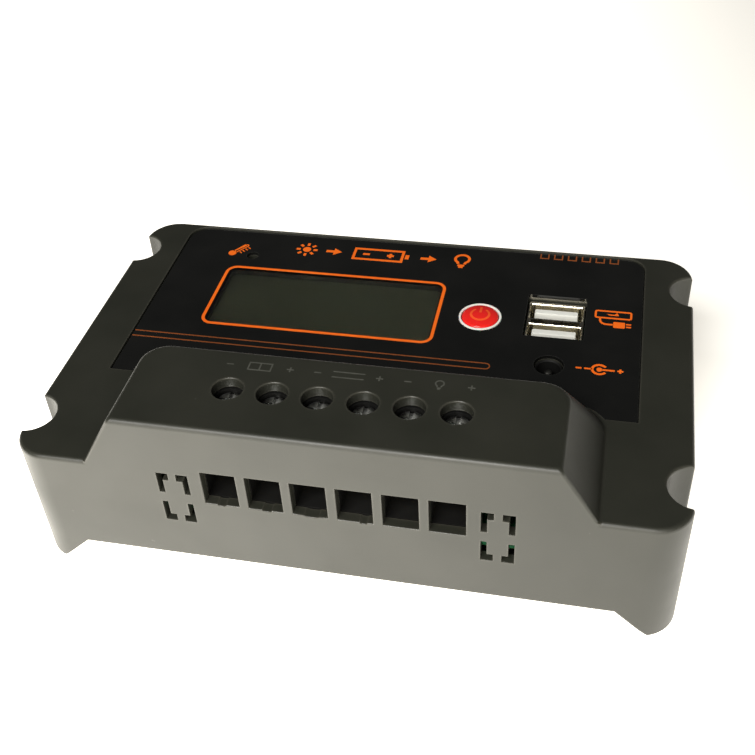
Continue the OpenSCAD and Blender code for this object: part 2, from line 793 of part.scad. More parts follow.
module inductor_core() {
    color([0.20, 0.24, 0.20]) translate([coil_x, coil_y, main_z + coil_tube_r + 2 * wire_r])
        rotate_extrude() translate([coil_r, 0]) circle(coil_tube_r);
}

module inductor_winding() {
    color([0.72, 0.36, 0.16]) translate([coil_x, coil_y, main_z + coil_tube_r + 2 * wire_r])
        for (k = [0 : coil_turns - 1]) rotate([0, 0, k * 300 / coil_turns]) translate([coil_r, 0, 0])
            rotate([90, 0, 0]) rotate_extrude() translate([coil_tube_r + wire_r, 0]) circle(wire_r, $fn = 24);
}

// A flat chip package with legs on two sides
module chip(x, y, w, d, legs) {
    translate([x, y, main_z]) {
        block(-w / 2, w / 2, -d / 2, d / 2, 0.1, 1.6);
        for (sy = [-1, 1], k = [0 : legs - 1])
            block((k - (legs - 1) / 2) * 1.27 - 0.2, (k - (legs - 1) / 2) * 1.27 + 0.2,
                  min(sy * d / 2, sy * (d / 2 + 1.2)), max(sy * d / 2, sy * (d / 2 + 1.2)), 0, 0.5);
    }
}

module microcontroller() {
    color([0.07, 0.07, 0.07]) chip(lcd_cx - 2, lcd_cy - 6, 13, 7.5, 10);
}

module driver_chips() {
    color([0.07, 0.07, 0.07]) for (x = [lcd_cx + 12, lcd_cx + 22]) chip(x, lcd_cy - 6, 5, 4, 4);
}

module rectifier_diodes() {
    color([0.12, 0.12, 0.12]) for (k = [0 : 2])
        block(lcd_x0 + 4, lcd_x0 + 11, k * 7 - 5, k * 7 - 1, main_z, main_z + 2.2);
}

upper_housing();
bottom_cover();
cover_screws();
front_panel();
display_window();
button_ring();
power_button();
tact_switch_body();
tact_switch_plunger();
display_board();
display_screws();
lcd_holder();
lcd_glass();
lcd_backlight();
lcd_pins();
temperature_sensor();
main_board();
board_screws();
board_header();
terminal_body();
terminal_bars();
terminal_screw(1);  // terminal_screw_1
terminal_screw(2);  // terminal_screw_2
terminal_screw(3);  // terminal_screw_3
terminal_screw(4);  // terminal_screw_4
terminal_screw(5);  // terminal_screw_5
terminal_screw(6);  // terminal_screw_6
terminal_cage(1);  // terminal_cage_1
terminal_cage(2);  // terminal_cage_2
terminal_cage(3);  // terminal_cage_3
terminal_cage(4);  // terminal_cage_4
terminal_cage(5);  // terminal_cage_5
terminal_cage(6);  // terminal_cage_6
usb_shell();
usb_tongues();
usb_contacts();
dc_jack_body();
dc_jack_pin();
heat_spreader();
insulating_pads();
mosfets();
mosfet_leads();
mosfet_screws();
capacitors();
inductor_core();
inductor_winding();
microcontroller();
driver_chips();
rectifier_diodes();
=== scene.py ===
# %% [markdown]
# # Dressing a solar charge controller
# A charge controller sits between a solar panel, a battery and a lamp. This lesson takes its plain
# engineering model and gives it the looks of the real thing: a satin black moulded housing, a glossy
# panel with orange printing, a red button, bright USB sockets and screw terminals. We load the
# engineering model first, because every piece made here has to sit exactly where it says.

# %% Load the frame
import json
import math
import bmesh
import bpy
from mathutils import Matrix, Vector


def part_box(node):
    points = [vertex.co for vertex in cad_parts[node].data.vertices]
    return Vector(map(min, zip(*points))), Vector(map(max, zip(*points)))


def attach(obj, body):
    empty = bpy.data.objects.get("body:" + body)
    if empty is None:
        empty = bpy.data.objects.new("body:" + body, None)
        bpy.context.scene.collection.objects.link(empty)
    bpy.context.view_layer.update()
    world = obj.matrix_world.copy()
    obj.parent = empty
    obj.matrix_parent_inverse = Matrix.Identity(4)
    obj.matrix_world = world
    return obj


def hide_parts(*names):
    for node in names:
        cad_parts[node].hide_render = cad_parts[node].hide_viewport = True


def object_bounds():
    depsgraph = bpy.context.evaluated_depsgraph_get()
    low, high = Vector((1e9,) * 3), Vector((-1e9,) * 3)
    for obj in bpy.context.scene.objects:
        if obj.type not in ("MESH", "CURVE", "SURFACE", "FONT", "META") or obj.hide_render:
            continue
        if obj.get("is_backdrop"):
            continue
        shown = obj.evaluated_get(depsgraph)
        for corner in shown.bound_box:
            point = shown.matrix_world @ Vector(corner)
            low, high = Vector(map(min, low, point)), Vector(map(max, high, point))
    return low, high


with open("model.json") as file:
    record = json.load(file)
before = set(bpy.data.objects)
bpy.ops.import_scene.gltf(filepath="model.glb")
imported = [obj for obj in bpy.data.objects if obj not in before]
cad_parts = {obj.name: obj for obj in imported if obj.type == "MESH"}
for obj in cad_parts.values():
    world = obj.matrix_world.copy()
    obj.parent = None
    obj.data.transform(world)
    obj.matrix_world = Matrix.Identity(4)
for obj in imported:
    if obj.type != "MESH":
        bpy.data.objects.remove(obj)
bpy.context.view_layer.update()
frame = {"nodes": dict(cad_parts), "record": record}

# %% [markdown]
# ## Working in millimetres
# Blender's unit here is the metre, but plastic mouldings are drawn in millimetres. Reading each piece's
# box once, in millimetres, lets every later step say where things are by name instead of by number.

# %% Read the places of the main pieces
MM = 0.001


def box_mm(node):
    """Lowest and highest corner of a frame piece, in millimetres."""
    low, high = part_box(node)
    return low / MM, high / MM


def middle_mm(node):
    """Middle of a frame piece's box, in millimetres."""
    low, high = box_mm(node)
    return (low + high) / 2


housing_low, housing_high = box_mm("upper_housing")
panel_low, panel_high = box_mm("front_panel")
window_low, window_high = box_mm("display_window")
SIDE = housing_high.x
FRONT, BACK = housing_low.y, housing_high.y
HUMP_TOP = housing_high.z
PANEL_TOP, PANEL_UNDER = panel_high.z, panel_low.z
LOW_TOP = PANEL_TOP + 0.5
SKIRT = box_mm("bottom_cover")[0].z
COVER_TOP = SKIRT + 2.5
WALL = 2.5
INNER_TOP = LOW_TOP - 3
GAP = 0.15
TERMINALS = range(1, 7)
screw_places = [middle_mm(f"terminal_screw_{k}") for k in TERMINALS]
button_place = middle_mm("power_button")
usb_place = middle_mm("usb_shell")
jack_place = middle_mm("dc_jack_body")
sensor_place = middle_mm("temperature_sensor")
print("panel surface at", round(PANEL_TOP, 2), "mm, hump top at", round(HUMP_TOP, 2), "mm")

# %% [markdown]
# ## Outlines and lofts
# Almost every moulded shape is an outline that changes a little with height: it narrows at a rounded rim
# and flares at a foot. We draw an outline from its corners and their radii, then skin a solid through
# several of them. A Bevel modifier could round a finished block instead, but it tears where a wide
# rounding meets a hole, so the rounding is drawn into the outlines.

# %% Draw an outline and skin a solid
def rounded_outline(corners, steps=6):
    """Points of a closed outline, from corners given as x, y and radius."""
    points = []
    for i, (x, y, radius) in enumerate(corners):
        here = Vector((x, y))
        if radius <= 0:
            points.append(here)
            continue
        to_last = (Vector(corners[i - 1][:2]) - here).normalized()
        to_next = (Vector(corners[(i + 1) % len(corners)][:2]) - here).normalized()
        half = to_last.angle(to_next) / 2
        centre = here + (to_last + to_next).normalized() * radius / math.sin(half)
        start = here + to_last * radius / math.tan(half) - centre
        end = here + to_next * radius / math.tan(half) - centre
        first = math.atan2(start.y, start.x)
        turn = (math.atan2(end.y, end.x) - first + math.pi) % math.tau - math.pi
        for k in range(steps + 1):
            angle = first + turn * k / steps
            points.append(centre + Vector((math.cos(angle), math.sin(angle))) * radius)
    return points


def rectangle(low_x, high_x, low_y, high_y, radius=0.0, steps=6):
    """A rectangular outline with equal corner radii."""
    return rounded_outline([(low_x, low_y, radius), (high_x, low_y, radius),
                            (high_x, high_y, radius), (low_x, high_y, radius)], steps)


def circle(x, y, radius, steps=48):
    """A round outline."""
    angles = [math.tau * k / steps for k in range(steps)]
    return [Vector((x + radius * math.cos(a), y + radius * math.sin(a))) for a in angles]


def centred(place, width, depth, radius=0.0, steps=6):
    """A rectangular outline round a middle point."""
    return rectangle(place[0] - width / 2, place[0] + width / 2, place[1] - depth / 2, place[1] + depth / 2,
                     radius, steps)


def loft(rings, along="z"):
    """A closed solid through (outline, level) rings that all have the same number of points."""
    place = {"z": lambda p, h: (p[0], p[1], h), "y": lambda p, h: (p[0], h, p[1]),
             "x": lambda p, h: (h, p[0], p[1])}[along]
    shape = bmesh.new()
    loops = [[shape.verts.new(Vector(place(p, level)) * MM) for p in outline] for outline, level in rings]
    shape.faces.new(loops[0])
    shape.faces.new(loops[-1])
    for lower, upper in zip(loops, loops[1:]):
        for k in range(len(lower)):
            after = (k + 1) % len(lower)
            shape.faces.new((lower[k], lower[after], upper[after], upper[k]))
    bmesh.ops.recalc_face_normals(shape, faces=shape.faces)
    return shape


def block(outline, low, high, along="z"):
    """A straight solid between two levels."""
    return loft([(outline, low), (outline, high)], along)


def turned(profile, x, y, steps=48):
    """A solid turned on a lathe from a closed profile of (radius, height) points."""
    shape = bmesh.new()
    loops = [[shape.verts.new(Vector((x + r * math.cos(math.tau * k / steps),
                                      y + r * math.sin(math.tau * k / steps), z)) * MM)
              for r, z in profile] for k in range(steps)]
    for k in range(steps):
        here, after = loops[k], loops[(k + 1) % steps]
        for i in range(len(profile)):
            j = (i + 1) % len(profile)
            shape.faces.new((here[i], after[i], after[j], here[j]))
    bmesh.ops.remove_doubles(shape, verts=shape.verts, dist=0.0005 * MM)
    bmesh.ops.dissolve_degenerate(shape, edges=shape.edges, dist=0.0002 * MM)
    bmesh.ops.delete(shape, geom=[e for e in shape.edges if not e.link_faces], context="EDGES")
    bmesh.ops.recalc_face_normals(shape, faces=shape.faces)
    return shape


def join(shapes):
    """Puts several shapes into one."""
    together = bmesh.new()
    for shape in shapes:
        mesh = bpy.data.meshes.new("passing")
        shape.to_mesh(mesh)
        shape.free()
        together.from_mesh(mesh)
        bpy.data.meshes.remove(mesh)
    return together


print("an 8 x 4 mm outline with 1 mm corners has", len(rectangle(0, 8, 0, 4, 1)), "points")

# %% [markdown]
# ## Cutting and joining solids
# A mould has cores that leave the openings. Boolean modifiers do the same to our solids: each tool is
# either added or taken away, in order, and the result is kept as one mesh.

# %% Carve a solid with tools
def new_object(name, shape):
    """Makes a scene object from an edited shape."""
    mesh = bpy.data.meshes.new(name)
    shape.to_mesh(mesh)
    shape.free()
    made = bpy.data.objects.new(name, mesh)
    bpy.context.scene.collection.objects.link(made)
    return made


def carve(name, base, steps):
    """Applies (operation, shape) steps to a base shape and returns the finished object."""
    piece = new_object(name, base)
    tools = []
    for operation, shape in steps:
        tool = new_object(name + "_tool", shape)
        tools.append(tool)
        modifier = piece.modifiers.new("carve", "BOOLEAN")
        modifier.operation = operation
        modifier.solver = "MANIFOLD"
        modifier.object = tool
    graph = bpy.context.evaluated_depsgraph_get()
    made = bpy.data.meshes.new_from_object(piece.evaluated_get(graph))
    piece.modifiers.clear()
    piece.data = made
    for tool in tools:
        bpy.data.objects.remove(tool)
    return piece


def taken_out(piece):
    """Takes a carved piece's shape back out of its object, to use it as a tool."""
    shape = bmesh.new()
    shape.from_mesh(piece.data)
    bpy.data.objects.remove(piece)
    return shape


# %% [markdown]
# ## Turning a shape into a finished piece
# Every piece needs the same last steps: smooth shading that still breaks at true corners, a material, a
# body to ride on, and the frame pieces it stands for hidden. Large flat faces are given more say in
# the shading than the thin strips beside them, so a rounded rim doesn't cast a false shadow on the flat.

# %% Finish a piece
body_of_node = {n: b for b, members in frame["record"]["behaviour"]["bodies"].items() for n in members}
slot_of_node = {s["node"]: s["material_slot"] for s in frame["record"]["subparts"]}
HOME = body_of_node["upper_housing"]


def finish_piece(piece, material, *nodes, body=None, slot=None, angle=32):
    """Shades a piece, gives it its material, ties it to its body and hides its frame pieces; slot is not
    used.
    """
    piece.data.materials.clear()
    piece.data.materials.append(material)
    piece.data.shade_smooth()
    piece.data.set_sharp_from_angle(angle=math.radians(angle))
    even = piece.modifiers.new("even_shading", "WEIGHTED_NORMAL")
    even.keep_sharp = True
    graph = bpy.context.evaluated_depsgraph_get()
    made = bpy.data.meshes.new_from_object(piece.evaluated_get(graph))
    piece.modifiers.clear()
    piece.data = made
    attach(piece, body or body_of_node[nodes[0]])
    if nodes:
        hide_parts(*nodes)
    return piece


# %% [markdown]
# ## Building materials from nodes
# A real finish is never one flat colour. Each material below starts from the same small recipe: a base
# colour with a little drift, a roughness that wanders, and a fine bump for grain. Because the patterns
# come from the piece's own position, they keep their size when the piece is copied or turned.

# %% A small kit for node materials
def new_material(name, colour, roughness, **sockets):
    """A Principled material; extra sockets are set by name. Returns it with its node tree and shader."""
    material = bpy.data.materials.new(name)
    material.use_nodes = True
    tree = material.node_tree
    shader = tree.nodes["Principled BSDF"]
    shader.inputs["Base Color"].default_value = (*colour, 1)
    shader.inputs["Roughness"].default_value = roughness
    for socket, value in sockets.items():
        shader.inputs[socket.replace("_", " ")].default_value = value
    return material, tree, shader


def noise(tree, scale, detail=3.0, roughness=0.5):
    """A noise pattern in object space; scale is in features per metre."""
    place = tree.nodes.new("ShaderNodeTexCoord")
    texture = tree.nodes.new("ShaderNodeTexNoise")
    texture.inputs["Scale"].default_value = scale
    texture.inputs["Detail"].default_value = detail
    texture.inputs["Roughness"].default_value = roughness
    tree.links.new(place.outputs["Object"], texture.inputs["Vector"])
    return texture.outputs["Fac"]


def spread(tree, value, low, high, from_low=0.3, from_high=0.7):
    """Maps a pattern onto a range of values."""
    node = tree.nodes.new("ShaderNodeMapRange")
    node.inputs["From Min"].default_value = from_low
    node.inputs["From Max"].default_value = from_high
    node.inputs["To Min"].default_value = low
    node.inputs["To Max"].default_value = high
    tree.links.new(value, node.inputs["Value"])
    return node.outputs["Result"]


def mix_colour(tree, value, first, second):
    """Goes from one colour to another with a pattern; either colour may be a socket."""
    node = tree.nodes.new("ShaderNodeMix")
    node.data_type = "RGBA"
    for socket, colour in ((6, first), (7, second)):
        if isinstance(colour, tuple):
            node.inputs[socket].default_value = (*colour, 1)
        else:
            tree.links.new(colour, node.inputs[socket])
    tree.links.new(value, node.inputs[0])
    return node.outputs[2]


def bump(tree, shader, value, depth, strength=1.0, below=None):
    """Raises the surface by a pattern; depth is in millimetres."""
    node = tree.nodes.new("ShaderNodeBump")
    node.inputs["Strength"].default_value = strength
    node.inputs["Distance"].default_value = depth * MM
    tree.links.new(value, node.inputs["Height"])
    if below is not None:
        tree.links.new(below, node.inputs["Normal"])
    tree.links.new(node.outputs["Normal"], shader.inputs["Normal"])
    return node.outputs["Normal"]


def edge_mask(tree, radius):
    """A mask that is bright where the surface turns within a radius, in millimetres."""
    soft = tree.nodes.new("ShaderNodeBevel")
    soft.samples = 4
    soft.inputs["Radius"].default_value = radius * MM
    geometry = tree.nodes.new("ShaderNodeNewGeometry")
    dot = tree.nodes.new("ShaderNodeVectorMath")
    dot.operation = "DOT_PRODUCT"
    tree.links.new(soft.outputs["Normal"], dot.inputs[0])
    tree.links.new(geometry.outputs["Normal"], dot.inputs[1])
    return spread(tree, dot.outputs["Value"], 1.0, 0.0, 0.93, 0.995)


# %% [markdown]
# ## Satin black ABS
# The housing is injection-moulded ABS. The mould was spark-eroded, which leaves a fine, even grain that
# breaks up reflections, so the plastic looks satin. We use a dark, slightly warm grey, a grain of about a
# third of a millimetre as bump, a slow drift in roughness from handling, and edges rubbed a little
# smoother, because fingers and cartons touch them first. The edges are also painted lighter, as a painted
# highlight along the rims. A few specks of dust sit on it.

# %% Housing plastic
def make_housing_plastic():
    material, tree, shader = new_material("satin_black_abs", (0.03, 0.029, 0.026), 0.44)
    drift = spread(tree, noise(tree, 45, 4), 0.0, 1.0)
    body_colour = mix_colour(tree, drift, (0.0165, 0.0175, 0.0130), (0.0225, 0.0230, 0.0175))
    edges = edge_mask(tree, 0.7)
    # the edges are painted lighter here: a painted highlight along the rims
    painted_edge_highlight = mix_colour(tree, spread(tree, edges, 0.0, 0.35, 0.0, 1.0), body_colour, (0.10, 0.095, 0.08))
    dust = spread(tree, noise(tree, 420, 2, 0.6), 0.0, 0.4, 0.77, 0.83)
    tree.links.new(mix_colour(tree, dust, painted_edge_highlight, (0.30, 0.29, 0.27)), shader.inputs["Base Color"])
    satin = spread(tree, noise(tree, 70, 5), 0.38, 0.48)
    rubbed = tree.nodes.new("ShaderNodeMath")
    rubbed.operation = "MULTIPLY"
    tree.links.new(satin, rubbed.inputs[0])
    tree.links.new(spread(tree, edges, 1.0, 0.5, 0.0, 1.0), rubbed.inputs[1])
    tree.links.new(rubbed.outputs[0], shader.inputs["Roughness"])
    grain = bump(tree, shader, noise(tree, 3200, 2, 0.6), 0.05, 0.35)
    bump(tree, shader, noise(tree, 160, 3), 0.10, 0.10, grain)
    return material


housing_plastic = make_housing_plastic()
print("made", housing_plastic.name, "with", len(housing_plastic.node_tree.nodes), "nodes")


# %% [markdown]
# ## The other finishes
# A controller mixes hard gloss, bare metal and board. Each finish below is made the same way, with a
# colour that drifts, a roughness that wanders and a bump of the right size, so one function with a few
# numbers can make all of them. Metals get a high roughness spread, because plating is never even.

# %% Make the other finishes
def make_finish(name, dark, light, smooth, rough, grain, depth, drift=60, edge=None, **sockets):
    """A finish that drifts between two colours and two roughnesses; grain is in features per metre."""
    material, tree, shader = new_material(name, dark, smooth, **sockets)
    colour = mix_colour(tree, spread(tree, noise(tree, drift, 4), 0.0, 1.0), dark, light)
    if edge:
        # along the edges the colour moves to the edge colour: a painted highlight where it is lighter than
        # the finish, and the bare core on the board
        colour = mix_colour(tree, spread(tree, edge_mask(tree, 0.2), 0.0, 0.6, 0.0, 1.0), colour, edge)
    tree.links.new(colour, shader.inputs["Base Color"])
    tree.links.new(spread(tree, noise(tree, drift * 2.3, 5), smooth, rough), shader.inputs["Roughness"])
    bump(tree, shader, noise(tree, grain, 3, 0.6), depth, 0.3)
    return material


panel_gloss = make_finish("gloss_black_overlay", (0.0045, 0.0048, 0.0045), (0.008, 0.008, 0.0075), 0.07,
                          0.16, 900, 0.004, edge=(0.05, 0.05, 0.048))
window_clear = make_finish("clear_window", (0.68, 0.69, 0.62), (0.70, 0.71, 0.64), 0.03, 0.07, 500,
                           0.0005, Transmission_Weight=1.0, IOR=1.49)
printing = make_finish("orange_ink", (0.86, 0.135, 0.008), (0.93, 0.17, 0.012), 0.32, 0.48, 4000, 0.006)
faint_printing = make_finish("thin_orange_ink", (0.20, 0.052, 0.012), (0.27, 0.072, 0.016), 0.35, 0.5,
                             4000, 0.006, drift=500)
ring_white = make_finish("white_ring_plastic", (0.80, 0.79, 0.75), (0.86, 0.85, 0.82), 0.22, 0.36, 1800,
                         0.01, Subsurface_Weight=0.15, Subsurface_Scale=0.0006)
button_red = make_finish("red_button_plastic", (0.74, 0.016, 0.014), (0.82, 0.024, 0.018), 0.13, 0.24,
                         1500, 0.006, Subsurface_Weight=0.1, Subsurface_Scale=0.0005)
button_print = make_finish("button_symbol_ink", (0.86, 0.09, 0.02), (0.90, 0.11, 0.03), 0.2, 0.3, 4000,
                           0.004)
part_black = make_finish("black_nylon", (0.0035, 0.0035, 0.0035), (0.007, 0.007, 0.0065), 0.5, 0.7, 2600,
                         0.03, edge=(0.012, 0.012, 0.011), Specular_IOR_Level=0.18)
screw_steel = make_finish("nickel_plated_steel", (0.42, 0.43, 0.42), (0.60, 0.61, 0.59), 0.20, 0.42,
                          2400, 0.02, drift=300, edge=(0.75, 0.75, 0.72), Metallic=1.0)
plated_brass = make_finish("plated_brass", (0.40, 0.33, 0.18), (0.56, 0.47, 0.27), 0.26, 0.46, 2000,
                           0.02, drift=260, edge=(0.7, 0.62, 0.42), Metallic=1.0)
shell_nickel = make_finish("socket_shell_nickel", (0.56, 0.51, 0.40), (0.74, 0.69, 0.56), 0.18, 0.34,
                           1600, 0.012, drift=220, edge=(0.9, 0.88, 0.8), Metallic=1.0)
tongue_white = make_finish("white_socket_tongue", (0.72, 0.73, 0.69), (0.80, 0.81, 0.78), 0.3, 0.44,
                           2200, 0.012)
gold_contact = make_finish("gold_contact", (0.72, 0.50, 0.18), (0.86, 0.63, 0.27), 0.16, 0.3, 3000,
                           0.004, Metallic=1.0)
board_green = make_finish("green_solder_mask", (0.006, 0.085, 0.032), (0.012, 0.13, 0.05), 0.22, 0.38,
                          1400, 0.02, drift=180, edge=(0.32, 0.27, 0.16))
lcd_grey = make_finish("display_glass", (0.094, 0.102, 0.074), (0.104, 0.112, 0.083), 0.32, 0.40, 700,
                       0.002, drift=30)
light_guide = make_finish("light_guide", (0.78, 0.80, 0.75), (0.84, 0.86, 0.81), 0.3, 0.42, 900, 0.01)
tinned = make_finish("tinned_lead", (0.60, 0.60, 0.58), (0.74, 0.74, 0.72), 0.24, 0.44, 2600, 0.02,
                     drift=400, Metallic=1.0)
sensor_black = make_finish("sensor_epoxy", (0.010, 0.011, 0.014), (0.018, 0.018, 0.022), 0.18, 0.32,
                           1200, 0.03)
spreader_aluminium = make_finish("milled_aluminium", (0.66, 0.67, 0.68), (0.76, 0.77, 0.78), 0.26, 0.44,
                                 3200, 0.02, drift=120, edge=(0.86, 0.86, 0.86), Metallic=1.0)
pad_grey = make_finish("silicone_pad", (0.34, 0.38, 0.40), (0.42, 0.46, 0.48), 0.6, 0.78, 900, 0.03)
can_blue = make_finish("capacitor_sleeve", (0.008, 0.012, 0.05), (0.014, 0.02, 0.08), 0.24, 0.38, 800,
                       0.02)
ferrite = make_finish("ferrite", (0.018, 0.024, 0.018), (0.04, 0.052, 0.04), 0.5, 0.72, 1800, 0.05)
copper_wire = make_finish("enamelled_copper", (0.50, 0.18, 0.06), (0.64, 0.26, 0.10), 0.18, 0.32, 1600,
                          0.01, Metallic=1.0)
# the pin's colour is darkened: painted shade for its place deep in the barrel
jack_pin_painted_shade = make_finish("shaded_jack_pin", (0.07, 0.07, 0.065), (0.12, 0.12, 0.11), 0.35, 0.55, 2600,
                       0.02, drift=400, Metallic=1.0)
sign_plastic = make_finish("raised_sign_plastic", (0.05, 0.052, 0.044), (0.075, 0.077, 0.066), 0.4, 0.6,
                           3000, 0.01, drift=600)
plunger_tan = make_finish("plunger_plastic", (0.38, 0.27, 0.11), (0.48, 0.35, 0.16), 0.34, 0.48, 1800,
                          0.02)
print("finishes made:", len([m for m in bpy.data.materials if m.use_nodes]))

# %% [markdown]
# ## The upper housing: its outside
# The outside is a low block with a hump along its front. The block's rim is rounded, so its outline draws
# in over the last millimetre. The hump leans in at its sides and back, spreads a little where it meets the
# low level, and rounds over at its crown; its front stays flush with the block. Under the skirt, two long
# wedge-shaped cuts, one each way, leave a tapered foot at each corner.

# %% Skin the outside of the housing
CORNER_R = 8.5
RIM, FOOT_RIM, CROWN, SPREAD = 1.1, 0.4, 1.3, 0.9
HUMP_HALF, HUMP_TOP_HALF = 56.8, 48.4
HUMP_REACH, HUMP_TOP_REACH = 35.0, 26.5
HUMP_R, HUMP_TOP_R = 8.5, 6.0
RISE = HUMP_TOP - LOW_TOP
SLOPE_X = (HUMP_HALF - HUMP_TOP_HALF) / RISE
SLOPE_Y = (HUMP_REACH - HUMP_TOP_REACH) / RISE
LEAN = math.atan(SLOPE_X)
FOOT_W, FOOT_L, FOOT_TAPER = 13.7, 31.0, 8.2
ROUND_STEPS = 6


def body_outline(inset):
    return rectangle(-SIDE + inset, SIDE - inset, FRONT + inset, BACK - inset * 0.4, CORNER_R - inset, 12)


def low_block():
    """The low level, from the soles up, with a rounded rim."""
    rings = [(body_outline(FOOT_RIM), 0), (body_outline(0), FOOT_RIM)]
    for k in range(ROUND_STEPS + 1):
        turn = math.pi / 2 * k / ROUND_STEPS
        rings.append((body_outline(RIM * (1 - math.cos(turn))), LOW_TOP - RIM + RIM * math.sin(turn)))
    return loft(rings)


def hump_outline(height, outward, front_inset=0.0, front_r=0.8):
    """The hump's outline at a height above the low level, moved outward at its sides and back."""
    share = min(max(height / RISE, 0), 1)
    half = HUMP_HALF - SLOPE_X * height + outward
    reach = HUMP_REACH - SLOPE_Y * height + outward
    back_r = HUMP_R + (HUMP_TOP_R - HUMP_R) * share
    y = FRONT + front_inset
    return rounded_outline([(-half, y, front_r), (half, y, front_r),
                            (half, FRONT + reach, back_r), (-half, FRONT + reach, back_r)], 8)


def hump_block():
    """The hump: straight below the low level, spread at its foot, rounded at its crown."""
    bend = math.pi / 2 - LEAN
    foot_run = SPREAD * math.tan(bend / 2)
    rings = [(hump_outline(0, foot_run), LOW_TOP - 15)]
    for k in range(ROUND_STEPS + 1):
        turn = bend * k / ROUND_STEPS
        height = SPREAD * (1 - math.cos(turn))
        outward = foot_run - SPREAD * math.sin(turn) + SLOPE_X * height
        rings.append((hump_outline(height, outward), LOW_TOP + height))
    crown_run = CROWN * math.tan(bend / 2)
    for k in range(2 * ROUND_STEPS + 1):
        turn = math.pi / 2 * (1 - k / (2 * ROUND_STEPS))
        height = RISE - CROWN * (1 - math.cos(turn))
        outward = 0.0
        if turn < bend:
            outward = -crown_run + CROWN * math.sin(turn) - SLOPE_X * (RISE - height)
        rings.append((hump_outline(height, outward, CROWN * (1 - math.sin(turn))), LOW_TOP + height))
    return loft(rings)


def foot_cut(edge, along, length=130):
    """A wedge that clears the space under the skirt between two rows of feet."""
    low_edge = edge + FOOT_TAPER
    outline = [(-low_edge - 1, -1), (low_edge + 1, -1), (low_edge, 0), (edge, SKIRT), (-edge, SKIRT),
               (-low_edge, 0)]
    return block(outline, -length, length, along)


NOTCH_R, NOTCH_FLOOR, NOTCH_INSET = 6.1, 3.0, 13.7
NOTCH_X, NOTCH_Y = SIDE + 0.3, BACK - NOTCH_INSET
PILLAR_R = NOTCH_R + 2.2
corner_signs = [(sx, sy) for sx in (-1, 1) for sy in (-1, 1)]


def pillar(sx, sy, low, high):
    """The wall round a notch, kept just inside the housing's side."""
    outline = []
    for k in range(25):
        angle = math.radians(93 + (267 - 93) * k / 24)
        y = sy * NOTCH_Y + PILLAR_R * math.sin(angle)
        # past the start of the corner's rounding, the limit follows the rounding
        over = max(abs(y) - (BACK - CORNER_R), 0)
        limit = SIDE - CORNER_R + math.sqrt(CORNER_R ** 2 - over ** 2) - FOOT_RIM - 0.05
        outline.append((sx * min(NOTCH_X + PILLAR_R * math.cos(angle), limit), y))
    return block(outline, low, high)


# %% [markdown]
# ## The upper housing: its openings
# Screwdriver notches bite into both sides, the panel has a shallow seat, and windows, slots and holes open
# the front and the hump. A real opening has a tiny rounding at its mouth, so each cutting tool flares
# over its last third of a millimetre. The first windows also keep small nibs where the mould was fed.

# %% Shape the cutting tools
MOUTH = 0.32


def flare(depth):
    """How far a mouth has opened at a depth below the surface, in millimetres."""
    return 0.0 if depth >= MOUTH else MOUTH - math.sqrt(max(MOUTH ** 2 - (MOUTH - depth) ** 2, 0))


MOUTH_DEPTHS = [MOUTH, MOUTH * 0.55, MOUTH * 0.25, MOUTH * 0.08, 0.0]


def mouth_rings(outline_at, surface, deep, out):
    """Rings of a cutter that runs from deep to out and flares at the surface between them."""
    inward = 1 if deep > out else -1
    rings = [(outline_at(0), deep)]
    rings += [(outline_at(flare(d)), surface + inward * d) for d in MOUTH_DEPTHS]
    return rings + [(outline_at(MOUTH), out)]


def notch_outline(sx, sy, grow):
    """A round bite whose two outer corners are softened where it meets the side wall."""
    radius, soft = NOTCH_R + grow, 0.8
    depth = NOTCH_X - (SIDE - soft)
    reach = math.sqrt((radius + soft) ** 2 - depth ** 2)
    tangent = math.atan2(reach, depth)
    lower = [Vector((SIDE + 3, -reach)), Vector((SIDE, -reach))]
    for k in range(1, 7):
        angle = tangent * k / 6
        lower.append(Vector((SIDE - soft + soft * math.cos(angle), -reach + soft * math.sin(angle))))
    # the deep part of the bite runs from the lower tangent point round to the upper one
    deep = [math.pi + tangent - 2 * tangent * k / 24 for k in range(1, 24)]
    round_part = [Vector((NOTCH_X + radius * math.cos(a), radius * math.sin(a))) for a in deep]
    points = lower + round_part + [Vector((p.x, -p.y)) for p in reversed(lower)]
    return [Vector((sx * p.x, sy * (NOTCH_Y + p.y))) for p in points]


def notch_cut(sx, sy):
    rings = [(notch_outline(sx, sy, 0), NOTCH_FLOOR)]
    rings += [(notch_outline(sx, sy, 2 * flare(d)), LOW_TOP - 2 * d) for d in MOUTH_DEPTHS]
    return loft(rings + [(notch_outline(sx, sy, 2 * MOUTH), LOW_TOP + 3)])


def panel_outline(grow, steps=8):
    """The panel's outline: it wraps round the foot of the hump, with rounded back corners."""
    clear = 0.9 - grow
    turn_x, turn_y = HUMP_HALF + clear - HUMP_R, FRONT + HUMP_REACH + clear - HUMP_R
    side, front, back = panel_high.x + grow, panel_low.y - grow, panel_high.y + grow
    first = math.asin((front - turn_y) / HUMP_R)
    arc = [first + (math.pi / 2 - first) * k / steps for k in range(steps + 1)]
    right = [Vector((turn_x + HUMP_R * math.cos(a), turn_y + HUMP_R * math.sin(a))) for a in arc]
    left = [Vector((-p.x, p.y)) for p in right]
    corners = rounded_outline([(side, back, 5 + grow), (-side, back, 5 + grow), (-side, front, 0),
                               (side, front, 0)], steps)[:2 * (steps + 1)]
    return [Vector((-side, front))] + left + right[::-1] + [Vector((side, front))] + corners


def window_outline(inset, radius=2.8):
    return rectangle(window_low.x + inset, window_high.x - inset,
                     window_low.y + inset, window_high.y - inset, max(radius - inset, 0.6), 8)


WINDOW_W, WINDOW_Z, WINDOW_H = 7.9, 26.6, 9.6
NIBS = {1: (-0.2, 1.0), 2: (0.2, 1.1), 3: (0.3, 1.7), 4: (1.8, 0.9)}


